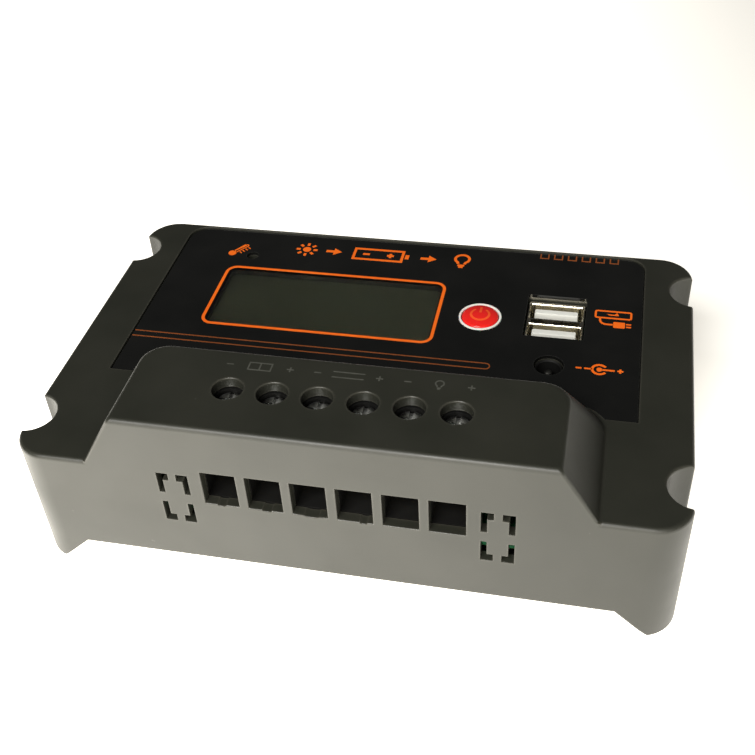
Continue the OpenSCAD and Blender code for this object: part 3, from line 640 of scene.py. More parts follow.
def wire_window(k):
    """The cutter of one wire window; the first four have a nib in their lower edge."""
    x = screw_places[k - 1].x
    nib, width = NIBS.get(k, (0, 0))
    depth = 0.35 if width else 0.0

    def outline(grow):
        low, high, half = WINDOW_Z - grow, WINDOW_Z + WINDOW_H + grow, WINDOW_W / 2 + grow
        bottom = [Vector((x + nib + (width or 1) * math.cos(a), low - depth * math.sin(a)))
                  for a in (math.pi * (1 - k / 6) for k in range(7))]
        return ([Vector((x - half, low))] + bottom
                + [Vector((x + half, low)), Vector((x + half, high)), Vector((x - half, high))])

    return loft(mouth_rings(outline, FRONT, FRONT + WALL + 1, FRONT - 1), "y")


def bracket_slot(x, sx, up):
    """One of four corner slots that mark out an upright rectangle in the front wall."""
    span, low, high = 7.25, 19.5, 34.6
    edge, end, rise = x + sx * span / 2, (high if up else low), (-1 if up else 1)

    def outline(grow):
        corner = [(0, 0), (2.65, 0), (2.65, 2.0), (1.25, 2.0), (1.25, 6.0), (0, 6.0)]
        push = [(-1, -1), (1, -1), (1, 1), (1, 1), (1, 1), (-1, 1)]
        return [Vector((edge - sx * (u + pu * grow * 0.5), end + rise * (v + pv * grow * 0.5)))
                for (u, v), (pu, pv) in zip(corner, push)]

    return loft(mouth_rings(outline, FRONT, FRONT + WALL + 1, FRONT - 1), "y")


def round_hole(x, y, radius, surface, deep, out=None, steps=48):
    """A round cutter along Z with a softened mouth."""
    return loft(mouth_rings(lambda grow: circle(x, y, radius + grow, steps), surface, deep,
                            surface + 2 if out is None else out))


print("a window's mouth flares by", round(flare(0), 2), "mm")

# %% [markdown]
# ## The upper housing: hollowed and cut
# Inside, the mould's core leaves a wall of two and a half millimetres, except round the notches, where a
# second wall keeps the inside closed, and in the feet, which stay solid. We make that core as a solid of
# its own and take it away from the outside, and then every opening follows in the same way.

# %% Hollow the housing and cut its openings
BRACKET_X = 36.2
ACCESS_R = 3.5
USB_OPEN_W, USB_OPEN_D = 15.0, 17.1
JACK_HOLE_R = 3.65
RING_R, RING_W = 5.45, 0.6
SENSOR_R = 1.7
SEAT_LEDGE = 1.0

CORE_OVERLAP, CORE_R = 4, 6
MOUNT_HOLE_R, MOUNT_INSET = 1.7, 3.1


def hump_core(height):
    """The outline of the hump's inside, at a height above the low level."""
    slope_wall = WALL / math.cos(LEAN)
    half = HUMP_HALF - SLOPE_X * height - slope_wall
    reach = FRONT + HUMP_REACH - SLOPE_Y * height - slope_wall
    return rounded_outline([(-half, FRONT + WALL, 0), (half, FRONT + WALL, 0),
                            (half, reach, CORE_R), (-half, reach, CORE_R)])


def foot_core(sx, sy):
    """The solid part of a foot, which the inside has to leave alone."""
    xs = sorted((sx * (SIDE - FOOT_W), sx * (SIDE + 1)))
    ys = sorted((sy * (BACK - FOOT_L), sy * (BACK + 1)))
    return block(rectangle(*xs, *ys), SKIRT - 2, COVER_TOP)


# The inside is made as a solid of its own first, then taken away from the outside.
cavity = block(rectangle(-SIDE + WALL, SIDE - WALL, FRONT + WALL, BACK - WALL, CORNER_R - WALL, 12),
               SKIRT - 1, INNER_TOP)
hump_inside = loft([(hump_core(h), LOW_TOP + h) for h in (-CORE_OVERLAP, HUMP_TOP - WALL - LOW_TOP)])
inside = carve("inside_core", cavity, [("UNION", hump_inside)]
               + [("DIFFERENCE", pillar(sx, sy, 0, LOW_TOP)) for sx, sy in corner_signs]
               + [("DIFFERENCE", foot_core(sx, sy)) for sx, sy in corner_signs])

seat = loft([(panel_outline(GAP), PANEL_UNDER), (panel_outline(GAP), LOW_TOP - 0.2),
             (panel_outline(GAP + 0.06), LOW_TOP - 0.06), (panel_outline(GAP + 0.18), LOW_TOP + 0.01),
             (panel_outline(GAP + 0.18), LOW_TOP + 0.4)])
seat_openings = join([block(outline, INNER_TOP - 1, PANEL_UNDER + 0.5) for outline in (
    window_outline(SEAT_LEDGE), circle(button_place.x, button_place.y, RING_R - RING_W),
    centred(usb_place, USB_OPEN_W, USB_OPEN_D, 0.3), circle(jack_place.x, jack_place.y, JACK_HOLE_R),
    circle(sensor_place.x, sensor_place.y, SENSOR_R))])
bracket_slots = join([bracket_slot(side * BRACKET_X, sx, up) for side in (-1, 1) for sx in (-1, 1)
                      for up in (False, True)])
access_holes = join([round_hole(p.x, p.y, ACCESS_R, HUMP_TOP, HUMP_TOP - WALL - 1) for p in screw_places])
mount_places = [(sx * (SIDE - MOUNT_INSET), sy * NOTCH_Y) for sx, sy in corner_signs]
mount_holes = join([block(circle(x, y, MOUNT_HOLE_R), -1, NOTCH_FLOOR + 1) for x, y in mount_places])
housing = carve("upper_housing_look", low_block(),
                [("UNION", hump_block()),
                 ("DIFFERENCE", foot_cut(SIDE - FOOT_W, "y")), ("DIFFERENCE", foot_cut(BACK - FOOT_L, "x"))]
                + [("UNION", pillar(sx, sy, 0.02, COVER_TOP)) for sx, sy in corner_signs]
                + [("DIFFERENCE", taken_out(inside))]
                + [("DIFFERENCE", notch_cut(sx, sy)) for sx, sy in corner_signs]
                + [("DIFFERENCE", mount_holes), ("DIFFERENCE", seat), ("DIFFERENCE", seat_openings),
                   ("DIFFERENCE", join([wire_window(k) for k in TERMINALS])),
                   ("DIFFERENCE", bracket_slots), ("DIFFERENCE", access_holes)])
finish_piece(housing, housing_plastic, "upper_housing")
print("housing faces:", len(housing.data.polygons))

# %% [markdown]
# ## The glossy panel and the display window
# The panel is a die-cut sheet of hard-coated plastic, a millimetre thick, glued into its seat. Its cut
# edges are just broken, so they catch a hair of light, and a lighter edge colour paints a highlight there.
# The display window is clear, and lets the dark olive glass of the display show through. Both are lofts of
# one outline, drawn in at the last tenth.

# %% Panel and window
EDGE_BREAK = 0.12


def broken_edges(outline_at, low, high, edge=EDGE_BREAK):
    """Rings of a flat piece whose upper and lower edges are slightly rounded."""
    lower = [(-edge, low), (-edge * 0.3, low + edge * 0.3), (0, low + edge)]
    upper = [(0, high - edge), (-edge * 0.3, high - edge * 0.3), (-edge, high)]
    return [(outline_at(grow), level) for grow, level in lower + upper]


def through_hole(outline):
    """A cutter that runs right through the panel."""
    return block(outline, PANEL_UNDER - 1, PANEL_TOP + 1)


panel_holes = join([through_hole(outline) for outline in (
    window_outline(-GAP), circle(button_place.x, button_place.y, RING_R + GAP),
    centred(usb_place, USB_OPEN_W, USB_OPEN_D, 0.4), circle(jack_place.x, jack_place.y, JACK_HOLE_R),
    circle(sensor_place.x, sensor_place.y, SENSOR_R))])
panel = carve("front_panel_look", loft(broken_edges(panel_outline, PANEL_UNDER, PANEL_TOP)),
              [("DIFFERENCE", panel_holes)])
finish_piece(panel, panel_gloss, "front_panel")
window = new_object("display_window_look",
                    loft(broken_edges(lambda grow: window_outline(-grow), PANEL_UNDER, PANEL_TOP)))
finish_piece(window, window_clear, "display_window")
print("panel faces:", len(panel.data.polygons))

# %% [markdown]
# ## Printing and raised signs
# The panel is screen-printed with orange ink, which stands a few hundredths of a millimetre proud. The
# signs are drawn as strokes: a line swept along a path, with a small box section. Plain pictograms are
# used throughout, so that anyone can read the part without words. The same strokes, in plastic, make the
# faint raised signs on the hump.

# %% Draw strokes and filled shapes
INK = 0.05


def stroke(path, width, level, height=INK, closed=False):
    """A raised line along (x, y) points; level is a height or a function of x and y."""
    at = level if callable(level) else lambda x, y: level
    count = len(path)
    shape, rings = bmesh.new(), []
    for i, point in enumerate(path):
        here = Vector(point)
        before = Vector(path[i - 1]) if i or closed else None
        after = Vector(path[(i + 1) % count]) if i < count - 1 or closed else None
        came = (here - before).normalized() if before else (after - here).normalized()
        goes = (after - here).normalized() if after else came
        side = Vector((-(came + goes).y, (came + goes).x)).normalized()
        half = width / 2 / max(side.dot(Vector((-goes.y, goes.x))), 0.4)
        ring = []
        for sign, up in ((1, 0), (-1, 0), (-1, height), (1, height)):
            corner = here + side * half * sign
            ring.append(shape.verts.new(Vector((corner.x, corner.y, at(corner.x, corner.y) + up)) * MM))
        rings.append(ring)
    for i in range(count if closed else count - 1):
        first, second = rings[i], rings[(i + 1) % count]
        for k in range(4):
            shape.faces.new((first[k], first[(k + 1) % 4], second[(k + 1) % 4], second[k]))
    if not closed:
        shape.faces.new(rings[0])
        shape.faces.new(rings[-1])
    bmesh.ops.recalc_face_normals(shape, faces=shape.faces)
    return shape


def bar(x, y, half, width, level, height=INK, upright=False):
    """A short straight stroke centred on a point."""
    ends = [(x, y - half), (x, y + half)] if upright else [(x - half, y), (x + half, y)]
    return stroke(ends, width, level, height)


def filled(outline, level, height=INK):
    """A raised filled shape."""
    return block(outline, level, level + height)


def arc(x, y, radius, first, last, steps=16):
    """Points along part of a circle; angles in degrees."""
    angles = [math.radians(first + (last - first) * k / steps) for k in range(steps + 1)]
    return [(x + radius * math.cos(a), y + radius * math.sin(a)) for a in angles]


def moved(path, x, y, turn):
    """A path turned by degrees and moved to a place."""
    c, s = math.cos(math.radians(turn)), math.sin(math.radians(turn))
    return [(x + u * c - v * s, y + u * s + v * c) for u, v in path]


def sun(x, y, size, width, level, height=INK):
    rays = [stroke([(x + size * 0.62 * math.cos(a), y + size * 0.62 * math.sin(a)),
                    (x + size * math.cos(a), y + size * math.sin(a))], width, level, height)
            for a in (math.tau * k / 8 for k in range(8))]
    return rays + [filled(circle(x, y, size * 0.38, 24), level, height)]


def battery(x, y, w, d, width, level, height=INK):
    """A battery: a box with a nub, and a minus and a plus inside."""
    mark = d * 0.2
    return [stroke([(x - w / 2, y - d / 2), (x + w / 2, y - d / 2), (x + w / 2, y + d / 2),
                    (x - w / 2, y + d / 2)], width, level, height, closed=True),
            filled(rectangle(x + w / 2 + width, x + w / 2 + width * 2.4, y - d / 5, y + d / 5),
                   level, height),
            bar(x - w / 4, y, mark, width, level, height), bar(x + w / 4, y, mark, width, level, height),
            stroke([(x + w / 4, y - mark), (x + w / 4, y - width / 2)], width, level, height),
            stroke([(x + w / 4, y + width / 2), (x + w / 4, y + mark)], width, level, height)]


def lamp(x, y, size, width, level, height=INK):
    """A lamp: a bulb over two short base lines."""
    bulb = arc(x, y + size * 0.25, size * 0.62, -55, 235)
    neck = [(x - size * 0.28, y - size * 0.5)]
    return [stroke([(x + size * 0.28, y - size * 0.5)] + bulb + neck, width, level, height),
            bar(x, y - size * 0.72, size * 0.3, width, level, height),
            bar(x, y - size * 0.96, size * 0.2, width, level, height)]


def arrow(x, y, size, level):
    return [filled([(x - size, y - size * 0.22), (x, y - size * 0.22), (x, y - size * 0.7), (x + size, y),
                    (x, y + size * 0.7), (x, y + size * 0.22), (x - size, y + size * 0.22)], level)]


# %% [markdown]
# ## Printing on the panel
# One screen prints all the bright signs in one pass, and a thinner ink prints the stripes and the row of
# open squares. The title row tells the story of the device: sun, battery, lamp. Each sign is placed by
# its middle point, in millimetres, so it can be moved by changing one pair of numbers.

# %% Print the panel
P = PANEL_TOP
FRAME_OUT, FRAME_IN = 0.28, 0.55


def frame_ring(level):
    """The orange frame, which covers the joint between panel and window."""
    outer, inner = window_outline(-FRAME_OUT), window_outline(FRAME_IN)
    shape = bmesh.new()
    loops = [[shape.verts.new(Vector((p[0], p[1], z)) * MM) for p in outline]
             for outline, z in ((outer, level), (outer, level + INK), (inner, level + INK), (inner, level))]
    for a, b in zip(loops, loops[1:] + loops[:1]):
        for k in range(len(a)):
            after = (k + 1) % len(a)
            shape.faces.new((a[k], a[after], b[after], b[k]))
    bmesh.ops.recalc_face_normals(shape, faces=shape.faces)
    return shape


TITLE_Y, TITLE_X = 40.8, -4.5
title = (sun(TITLE_X - 24, TITLE_Y, 3.0, 0.75, P) + arrow(TITLE_X - 16.2, TITLE_Y, 2.2, P)
         + battery(TITLE_X - 3.6, TITLE_Y, 13.5, 4.8, 0.75, P) + arrow(TITLE_X + 10.4, TITLE_Y, 2.2, P)
         + lamp(TITLE_X + 19.6, TITLE_Y + 0.4, 3.1, 0.75, P))
THERMOMETER = -47.6, 38.1, -38
BULB_R, TUBE_R = 1.15, 0.45
bulb = [(math.cos(a) * BULB_R, math.sin(a) * BULB_R - 2.2) for a in (math.tau * k / 20 for k in range(20))]
tube = [(-TUBE_R, -1.4), (-TUBE_R, 2.8)] + arc(0, 2.8, TUBE_R, 180, 0, 6) + [(TUBE_R, -1.4)]
thermometer = [filled(moved(bulb, *THERMOMETER), P), stroke(moved(tube, *THERMOMETER), 0.34, P)]
thermometer += [stroke(moved([(0.95, v), (1.9, v)], *THERMOMETER), 0.3, P) for v in (-0.4, 0.6, 1.6, 2.6)]
# A charging lead: a plug with two prongs at the right, and its cable curling away to the left.
PLUG_X, PLUG_Y = 58.2, 18.7
plug = [filled(rectangle(PLUG_X - 1.7, PLUG_X + 1.2, PLUG_Y - 1.15, PLUG_Y + 1.15, 0.3), P),
        filled(rectangle(PLUG_X + 1.45, PLUG_X + 2.7, PLUG_Y + 0.3, PLUG_Y + 0.75), P),
        filled(rectangle(PLUG_X + 1.45, PLUG_X + 2.7, PLUG_Y - 0.75, PLUG_Y - 0.3), P),
        stroke([(PLUG_X - 1.8, PLUG_Y)] + arc(PLUG_X - 3.4, PLUG_Y + 1.6, 1.6, 270, 180, 8)
               + [(PLUG_X - 5.0, PLUG_Y + 2.4)], 0.55, P)]
case = rectangle(PLUG_X - 6.2, PLUG_X + 2.6, PLUG_Y + 2.6, PLUG_Y + 5.4, 0.5, 4)
phone = [stroke(case, 0.5, P, closed=True),
         filled([(PLUG_X - 2.6, PLUG_Y + 3.7), (PLUG_X - 0.4, PLUG_Y + 3.8), (PLUG_X - 0.9, PLUG_Y + 4.9),
                 (PLUG_X - 1.5, PLUG_Y + 4.1), (PLUG_X - 3.4, PLUG_Y + 4.2)], P)]
# The round-plug sign: minus, barrel, plus.
BARREL_X, BARREL_Y = 54.1, 0.9
barrel = [stroke(arc(BARREL_X, BARREL_Y, 1.7, 35, 325, 24), 0.62, P),
          filled(circle(BARREL_X, BARREL_Y, 0.7, 20), P),
          stroke([(BARREL_X - 1.7, BARREL_Y), (BARREL_X - 3.6, BARREL_Y)], 0.5, P),
          stroke([(BARREL_X + 0.6, BARREL_Y), (BARREL_X + 3.6, BARREL_Y)], 0.5, P)]
barrel += [bar(BARREL_X + side * 4.9, BARREL_Y, 0.7, 0.5, P) for side in (-1, 1)]
barrel += [stroke([(BARREL_X + 4.9, BARREL_Y - 0.7), (BARREL_X + 4.9, BARREL_Y - 0.26)], 0.5, P),
           stroke([(BARREL_X + 4.9, BARREL_Y + 0.26), (BARREL_X + 4.9, BARREL_Y + 0.7)], 0.5, P)]
bright_signs = new_object("panel_printing",
                          join([frame_ring(P)] + title + thermometer + plug + phone + barrel))
finish_piece(bright_signs, printing, body=HOME, slot="panel_gloss")

STRIPE_LOW, STRIPE_GAP, STRIPE_END = -2.9, 2.1, 27.15
stripes = stroke([(panel_low.x + 0.2, STRIPE_LOW)]
                 + arc(STRIPE_END, STRIPE_LOW + STRIPE_GAP / 2, STRIPE_GAP / 2, -90, 90, 12)
                 + [(panel_low.x + 0.2, STRIPE_LOW + STRIPE_GAP)], 0.32, P)
SQUARES_X, SQUARE_STEP, SQUARE_W, SQUARE_LOW, SQUARE_HIGH = 36.0, 3.7, 2.1, 45.3, panel_high.y - 0.15
squares = [stroke([(x, SQUARE_HIGH), (x, SQUARE_LOW), (x + SQUARE_W, SQUARE_LOW),
                   (x + SQUARE_W, SQUARE_HIGH)], 0.36, P)
           for x in (SQUARES_X + SQUARE_STEP * k for k in range(6))]
faint_signs = new_object("panel_thin_printing", join([stripes] + squares))
finish_piece(faint_signs, faint_printing, body=HOME, slot="panel_gloss")

# %% [markdown]
# ## Raised signs on the hump
# Behind each pair of screws, a sign says what connects there: sun panel, battery or lamp, with minus and
# plus. The mould has them engraved, so on the part they stand up, by only two hundredths of a millimetre.

# %% Raise the signs on the hump
H, SIGN_Y, SIGN_W = HUMP_TOP - 0.04, -26.4, 0.34
pairs = [(screw_places[2 * k].x + screw_places[2 * k + 1].x) / 2 for k in range(3)]
RAISE = 0.06
hump_signs = []
# panel: a small grid; battery: two long lines; lamp: a bulb
hump_signs += [stroke(centred((pairs[0], SIGN_Y), 5.2, 2.4), SIGN_W, H, RAISE, True),
               bar(pairs[0], SIGN_Y, 1.0, SIGN_W, H, RAISE, upright=True)]
hump_signs += [bar(pairs[1], SIGN_Y + dy, 3.6, SIGN_W, H, RAISE) for dy in (-0.9, 0.9)]
hump_signs += lamp(pairs[2], SIGN_Y, 1.5, SIGN_W, H, RAISE)
for x in pairs:
    for side, plus in ((-1, False), (1, True)):
        centre = x + side * 7.0
        hump_signs.append(bar(centre, SIGN_Y, 0.8, SIGN_W, H, RAISE))
        if plus:
            hump_signs += [stroke([(centre, SIGN_Y + a), (centre, SIGN_Y + b)], SIGN_W, H, RAISE)
                           for a, b in ((-0.8, -0.17), (0.17, 0.8))]
raised = new_object("hump_signs", join(hump_signs))
finish_piece(raised, sign_plastic, body=HOME, slot="housing_black")
print("printed and raised signs are in place")

# %% [markdown]
# ## The power button and its ring
# The button is a red cap with a shallow dome, sliding in a white ring. Both are turned shapes, so a lathe
# profile gives them true round edges. The power sign is printed on the dome, so its strokes follow it.

# %% Button, ring and power sign
button_low, button_high = box_mm("power_button")
RING_TOP = box_mm("button_ring")[1].z
CAP_R, DOME = RING_R - RING_W - GAP, button_high.z - RING_TOP
DOME_R = (CAP_R ** 2 + DOME ** 2) / (2 * DOME)
FLANGE_TOP, FLANGE_T, STEM_R = INNER_TOP - 0.1, 1.1, 1.5


def dome_height(x, y):
    """Height of the dome over a point of the cap."""
    away = min(math.hypot(x - button_place.x, y - button_place.y), CAP_R)
    return button_high.z - DOME_R + math.sqrt(DOME_R ** 2 - away ** 2)


shoulder = [(CAP_R, RING_TOP - 0.55), (CAP_R - 0.04, RING_TOP - 0.25), (CAP_R - 0.18, RING_TOP - 0.02)]
dome = [(CAP_R * s, dome_height(button_place.x + CAP_R * s, button_place.y)) for s in
        (0.93, 0.85, 0.72, 0.58, 0.44, 0.3, 0.15, 0)]
cap = turned([(0, button_low.z), (STEM_R - 0.2, button_low.z), (STEM_R, button_low.z + 0.2),
              (STEM_R, FLANGE_TOP - FLANGE_T), (RING_R - 0.1, FLANGE_TOP - FLANGE_T),
              (RING_R - 0.1, FLANGE_TOP), (CAP_R, FLANGE_TOP)] + shoulder + dome,
             button_place.x, button_place.y, 64)
button = new_object("power_button_look", cap)
finish_piece(button, button_red, "power_button")
ring_in = RING_R - RING_W
ring_profile = [(ring_in, PANEL_UNDER), (RING_R, PANEL_UNDER), (RING_R, RING_TOP - 0.2),
                (RING_R - 0.06, RING_TOP - 0.06), (RING_R - 0.2, RING_TOP), (ring_in + 0.2, RING_TOP),
                (ring_in + 0.06, RING_TOP - 0.06), (ring_in, RING_TOP - 0.2)]
finish_piece(new_object("button_ring_look", turned(ring_profile, button_place.x, button_place.y, 64)),
             ring_white, "button_ring")


def on_dome(x, y):
    return dome_height(x, y) - 0.03


sign = [stroke(arc(button_place.x, button_place.y, 2.3, 125, 415, 28), 0.6, on_dome, 0.045),
        stroke([(button_place.x, button_place.y + v) for v in (0.5, 1.3, 2.2, 3.1)], 0.6, on_dome, 0.045)]
power_sign = new_object("power_sign", join(sign))
finish_piece(power_sign, button_print, body="button", slot="button_red")
print("dome rises", round(DOME, 2), "mm over a cap of", round(2 * CAP_R, 1), "mm")

# %% [markdown]
# ## The USB sockets
# Two sockets stand upright in one folded sheet-metal shell, with their mouths just below the panel. Each
# has a white plastic tongue that carries four gilded contacts. The mouths are flared, as real ones are to
# guide a plug in, and the thin walls between them shine, helped by a painted highlight along the shell's
# edges.

# %% USB shell, tongues and contacts
usb_low, usb_high = box_mm("usb_shell")
tongue_low, tongue_high = box_mm("usb_tongues")
PORT_W, PORT_D, PORT_STEP = 13.2, 5.6, 8.3
port_places = [usb_place.y - PORT_STEP / 2, usb_place.y + PORT_STEP / 2]
TONGUE_W, TONGUE_T, TONGUE_BACK = 11.1, 2.0, 0.9


def port_outline(y, grow):
    return centred((usb_place.x, y), PORT_W + 2 * grow, PORT_D + 2 * grow, 0.4, 4)


def shell_outline(grow):
    return rectangle(usb_low.x - grow, usb_high.x + grow, usb_low.y - grow, usb_high.y + grow, 0.6, 5)


MOUTH_OF_PORT = [(0, usb_low.z - 1), (0, usb_high.z - 0.45), (0.12, usb_high.z - 0.15),
                 (0.3, usb_high.z + 0.02), (0.3, usb_high.z + 1)]
ports = [("DIFFERENCE", loft([(port_outline(y, grow), level) for grow, level in MOUTH_OF_PORT]))
         for y in port_places]
fold = centred(usb_place, PORT_W - 0.8, 1.2, 0.3)
ports.append(("DIFFERENCE", block(fold, usb_low.z + 1, usb_high.z + 1)))
shell = carve("usb_shell_look", loft(broken_edges(shell_outline, usb_low.z, usb_high.z)), ports)
finish_piece(shell, shell_nickel, "usb_shell")
tongue_parts, contact_parts = [], []
for y in port_places:
    back = y + PORT_D / 2
    tongue_parts.append(block(centred((usb_place.x, y), PORT_W - 0.2, PORT_D - 0.2, 0.3),
                              tongue_low.z, tongue_low.z + 2))
    face = back - TONGUE_BACK - TONGUE_T

    def tongue_outline(grow, face=face):
        middle = usb_place.x, face + TONGUE_T / 2
        return centred(middle, TONGUE_W + 2 * grow, TONGUE_T + 2 * grow, 0.35, 5)

    tongue_rings = [(0, tongue_low.z + 1.9), (0, tongue_high.z - 0.4), (-0.12, tongue_high.z - 0.12),
                    (-0.35, tongue_high.z)]
    tongue_parts.append(loft([(tongue_outline(grow), level) for grow, level in tongue_rings]))
    for x in (-3.5, -1, 1, 3.5):
        tip = rectangle(usb_place.x + x - 0.5, usb_place.x + x + 0.5, face - 0.15, face + 0.02)
        slim = rectangle(usb_place.x + x - 0.4, usb_place.x + x + 0.4, face - 0.05, face + 0.02)
        contact_parts.append(loft([(tip, tongue_low.z + 2), (tip, tongue_high.z - 2.4),
                                   (slim, tongue_high.z - 2.0)]))
finish_piece(new_object("usb_tongues_look", join(tongue_parts)), tongue_white, "usb_tongues")
finish_piece(new_object("usb_contacts_look", join(contact_parts)), gold_contact, "usb_contacts")
print("usb ports are", PORT_STEP, "mm apart")

# %% [markdown]
# ## The round DC jack
# The jack is a nylon barrel with a lead-in chamfer and a plated centre pin. Seen from above it is almost
# all shadow, so the fine rim of the collar is what shows. The pin stands deep in the barrel, so its plating
# is painted dark, as painted shade.

# %% Jack body and pin
jack_low, jack_high = box_mm("dc_jack_body")
pin_low, pin_high = box_mm("dc_jack_pin")
COLLAR_R, BORE_R, PIN_R = JACK_HOLE_R - 0.25, 2.9, 1.05
HALF_JACK = 5.0


def jack_square(grow):
    return centred(jack_place, 2 * (HALF_JACK + grow), 2 * (HALF_JACK + grow), 0.4, 4)


collar = turned([(0, INNER_TOP - 2), (COLLAR_R, INNER_TOP - 2), (COLLAR_R, jack_high.z - 0.18),
                 (COLLAR_R - 0.18, jack_high.z), (0, jack_high.z)], jack_place.x, jack_place.y, 64)
bore = turned([(0, jack_low.z + 2.2), (BORE_R, jack_low.z + 2.2), (BORE_R, jack_high.z - 0.3),
               (BORE_R + 0.3, jack_high.z + 0.02), (BORE_R + 0.3, jack_high.z + 1), (0, jack_high.z + 1)],
              jack_place.x, jack_place.y, 64)
pin_hole = block(circle(jack_place.x, jack_place.y, PIN_R), jack_low.z - 1, jack_low.z + 3)
jack = carve("dc_jack_body_look", loft(broken_edges(jack_square, jack_low.z, INNER_TOP - 0.1)),
             [("UNION", collar), ("DIFFERENCE", bore), ("DIFFERENCE", pin_hole)])
finish_piece(jack, part_black, "dc_jack_body")
pin = turned([(0, pin_low.z), (PIN_R, pin_low.z), (PIN_R, pin_high.z - 0.7),
              (PIN_R * 0.86, pin_high.z - 0.3), (PIN_R * 0.5, pin_high.z - 0.06), (0, pin_high.z)],
             jack_place.x, jack_place.y, 40)
finish_piece(new_object("dc_jack_pin_look", pin), jack_pin_painted_shade, "dc_jack_pin")

# %% [markdown]
# ## Screws
# A terminal screw has a rounded head with a cross recess, and a plain shank that ends in a cone. Each one
# is its own piece, because each turns with its own screw body. The cover's screws are the same idea with
# a wider head, and point the other way.

# %% Terminal screws
SLOT_W, SLOT_DEEP, HEAD_R, SHANK_R, HEAD_T = 1.0, 0.9, 2.9, 2.0, 1.85


def cross(x, y, low, high, half, width):
    """Two crossed bars that cut a screw's recess."""
    return [("DIFFERENCE", block(centred((x, y), w, d), low, high))
            for w, d in ((2 * half, width), (width, 2 * half))]


for k in TERMINALS:
    node = f"terminal_screw_{k}"
    low, high = box_mm(node)
    x, y = (low.x + high.x) / 2, (low.y + high.y) / 2
    under = high.z - HEAD_T
    profile = [(0, low.z), (SHANK_R - 0.5, low.z), (SHANK_R, low.z + 0.5), (SHANK_R, under),
               (HEAD_R - 0.1, under), (HEAD_R, under + 0.1), (HEAD_R, high.z - 0.45),
               (HEAD_R - 0.12, high.z - 0.18), (HEAD_R - 0.45, high.z), (0, high.z)]
    screw = carve(node + "_look", turned(profile, x, y),
                  cross(x, y, high.z - SLOT_DEEP, high.z + 1, HEAD_R + 1, SLOT_W))
    finish_piece(screw, screw_steel, node)
print("terminal screws made:", len(TERMINALS))

# %% [markdown]
# ## The underside
# Turn the controller over and there is a flat cover, let in between the feet and held by four screws in
# counterbores. It is moulded in the same plastic as the housing, so it takes the same finish.

# %% Cover and its screws
cover_high = box_mm("bottom_cover")[1]


def cover_outline(grow):
    """The cover's outline, with a square bite at each corner for the foot."""
    side, end = cover_high.x + grow, cover_high.y + grow
    bite_x, bite_y = SIDE - FOOT_W - GAP + grow, BACK - FOOT_L - GAP + grow
    return [Vector((x, y)) for x, y in
            [(side, -bite_y), (side, bite_y), (bite_x, bite_y), (bite_x, end), (-bite_x, end),
             (-bite_x, bite_y), (-side, bite_y), (-side, -bite_y), (-bite_x, -bite_y), (-bite_x, -end),
             (bite_x, -end), (bite_x, -bite_y)]]


COVER_BOSS = SIDE - 9.5, BACK - FOOT_L - 5.5
MAIN_FIX = (2 * SIDE - 29) / 2 - 4.5, (BACK - FRONT - 7) / 2 - 4.5
MAIN_UNDER = box_mm("main_board")[0].z
HEAD_WIDE_R, HEAD_HIGH, HEAD_ROOM, CHAMFER = 2.7, 1.6, 0.3, 0.25
SCREW_HOLE_R, PILOT_R, POST_R = 1.7, 1.5, 3.0
SEAT_R = HEAD_WIDE_R + HEAD_ROOM
steps = []
for sx, sy in corner_signs:
    x, y = sx * COVER_BOSS[0], sy * COVER_BOSS[1]
    steps.append(("DIFFERENCE", block(circle(x, y, SCREW_HOLE_R), SKIRT - 1, COVER_TOP + 1)))
    mouth = [(SEAT_R + CHAMFER, SKIRT - 1), (SEAT_R + CHAMFER, SKIRT), (SEAT_R, SKIRT + CHAMFER),
             (SEAT_R, SKIRT + HEAD_HIGH)]
    steps.append(("DIFFERENCE", loft([(circle(x, y, radius), level) for radius, level in mouth])))
post = [(0, SKIRT + 1), (POST_R, SKIRT + 1), (POST_R, MAIN_UNDER - 0.15), (POST_R - 0.15, MAIN_UNDER),
        (0, MAIN_UNDER)]
posts = [("UNION", turned(post, sx * MAIN_FIX[0], sy * MAIN_FIX[1])) for sx, sy in corner_signs]
pilots = [("DIFFERENCE", block(circle(sx * MAIN_FIX[0], sy * MAIN_FIX[1], PILOT_R),
                               SKIRT + 2, MAIN_UNDER + 1)) for sx, sy in corner_signs]
spreader_low, spreader_high = box_mm("heat_spreader")
RAIL_W, RAIL_L = 6.0, 20.0
RAIL_X = (spreader_high.x - spreader_low.x) / 2 - RAIL_W
rails = [("UNION", block(centred((sx * RAIL_X, spreader_low.y + 2 + RAIL_L / 2), RAIL_W, RAIL_L, 0.4),
                         SKIRT + 1, spreader_low.z)) for sx in (-1, 1)]
cover = carve("bottom_cover_look", loft(broken_edges(cover_outline, SKIRT, COVER_TOP, 0.25)),
              posts + rails + pilots + steps)
finish_piece(cover, housing_plastic, "bottom_cover")

cover_screw_parts = []
for sx, sy in corner_signs:
    x, y = sx * COVER_BOSS[0], sy * COVER_BOSS[1]
    seat_z = SKIRT + HEAD_HIGH
    profile = [(0, seat_z + 9), (0.7, seat_z + 9), (1.45, seat_z + 8), (1.45, seat_z),
               (HEAD_WIDE_R, seat_z), (HEAD_WIDE_R, seat_z - 1.1), (HEAD_WIDE_R - 0.15, seat_z - 1.36),
               (HEAD_WIDE_R - 0.5, seat_z - 1.5), (0, seat_z - 1.5)]
    made = carve("cover_screw_tool", turned(profile, x, y, 40),
                 cross(x, y, seat_z - 2.5, seat_z - 0.7, HEAD_WIDE_R * 0.6, 0.8))
    cover_screw_parts.append(taken_out(made))
finish_piece(new_object("cover_screws_look", join(cover_screw_parts)), screw_steel, "cover_screws")
print("cover faces:", len(cover.data.polygons))

# %% [markdown]
# ## Finishes for the pieces inside
# The boards, terminals and power parts are shown as the frame has them: their true shapes are plain, and
# they are seen only through slots and windows. They still get full finishes, because a glimpse of green
# board or plated brass in a dark opening is what makes the inside believable.

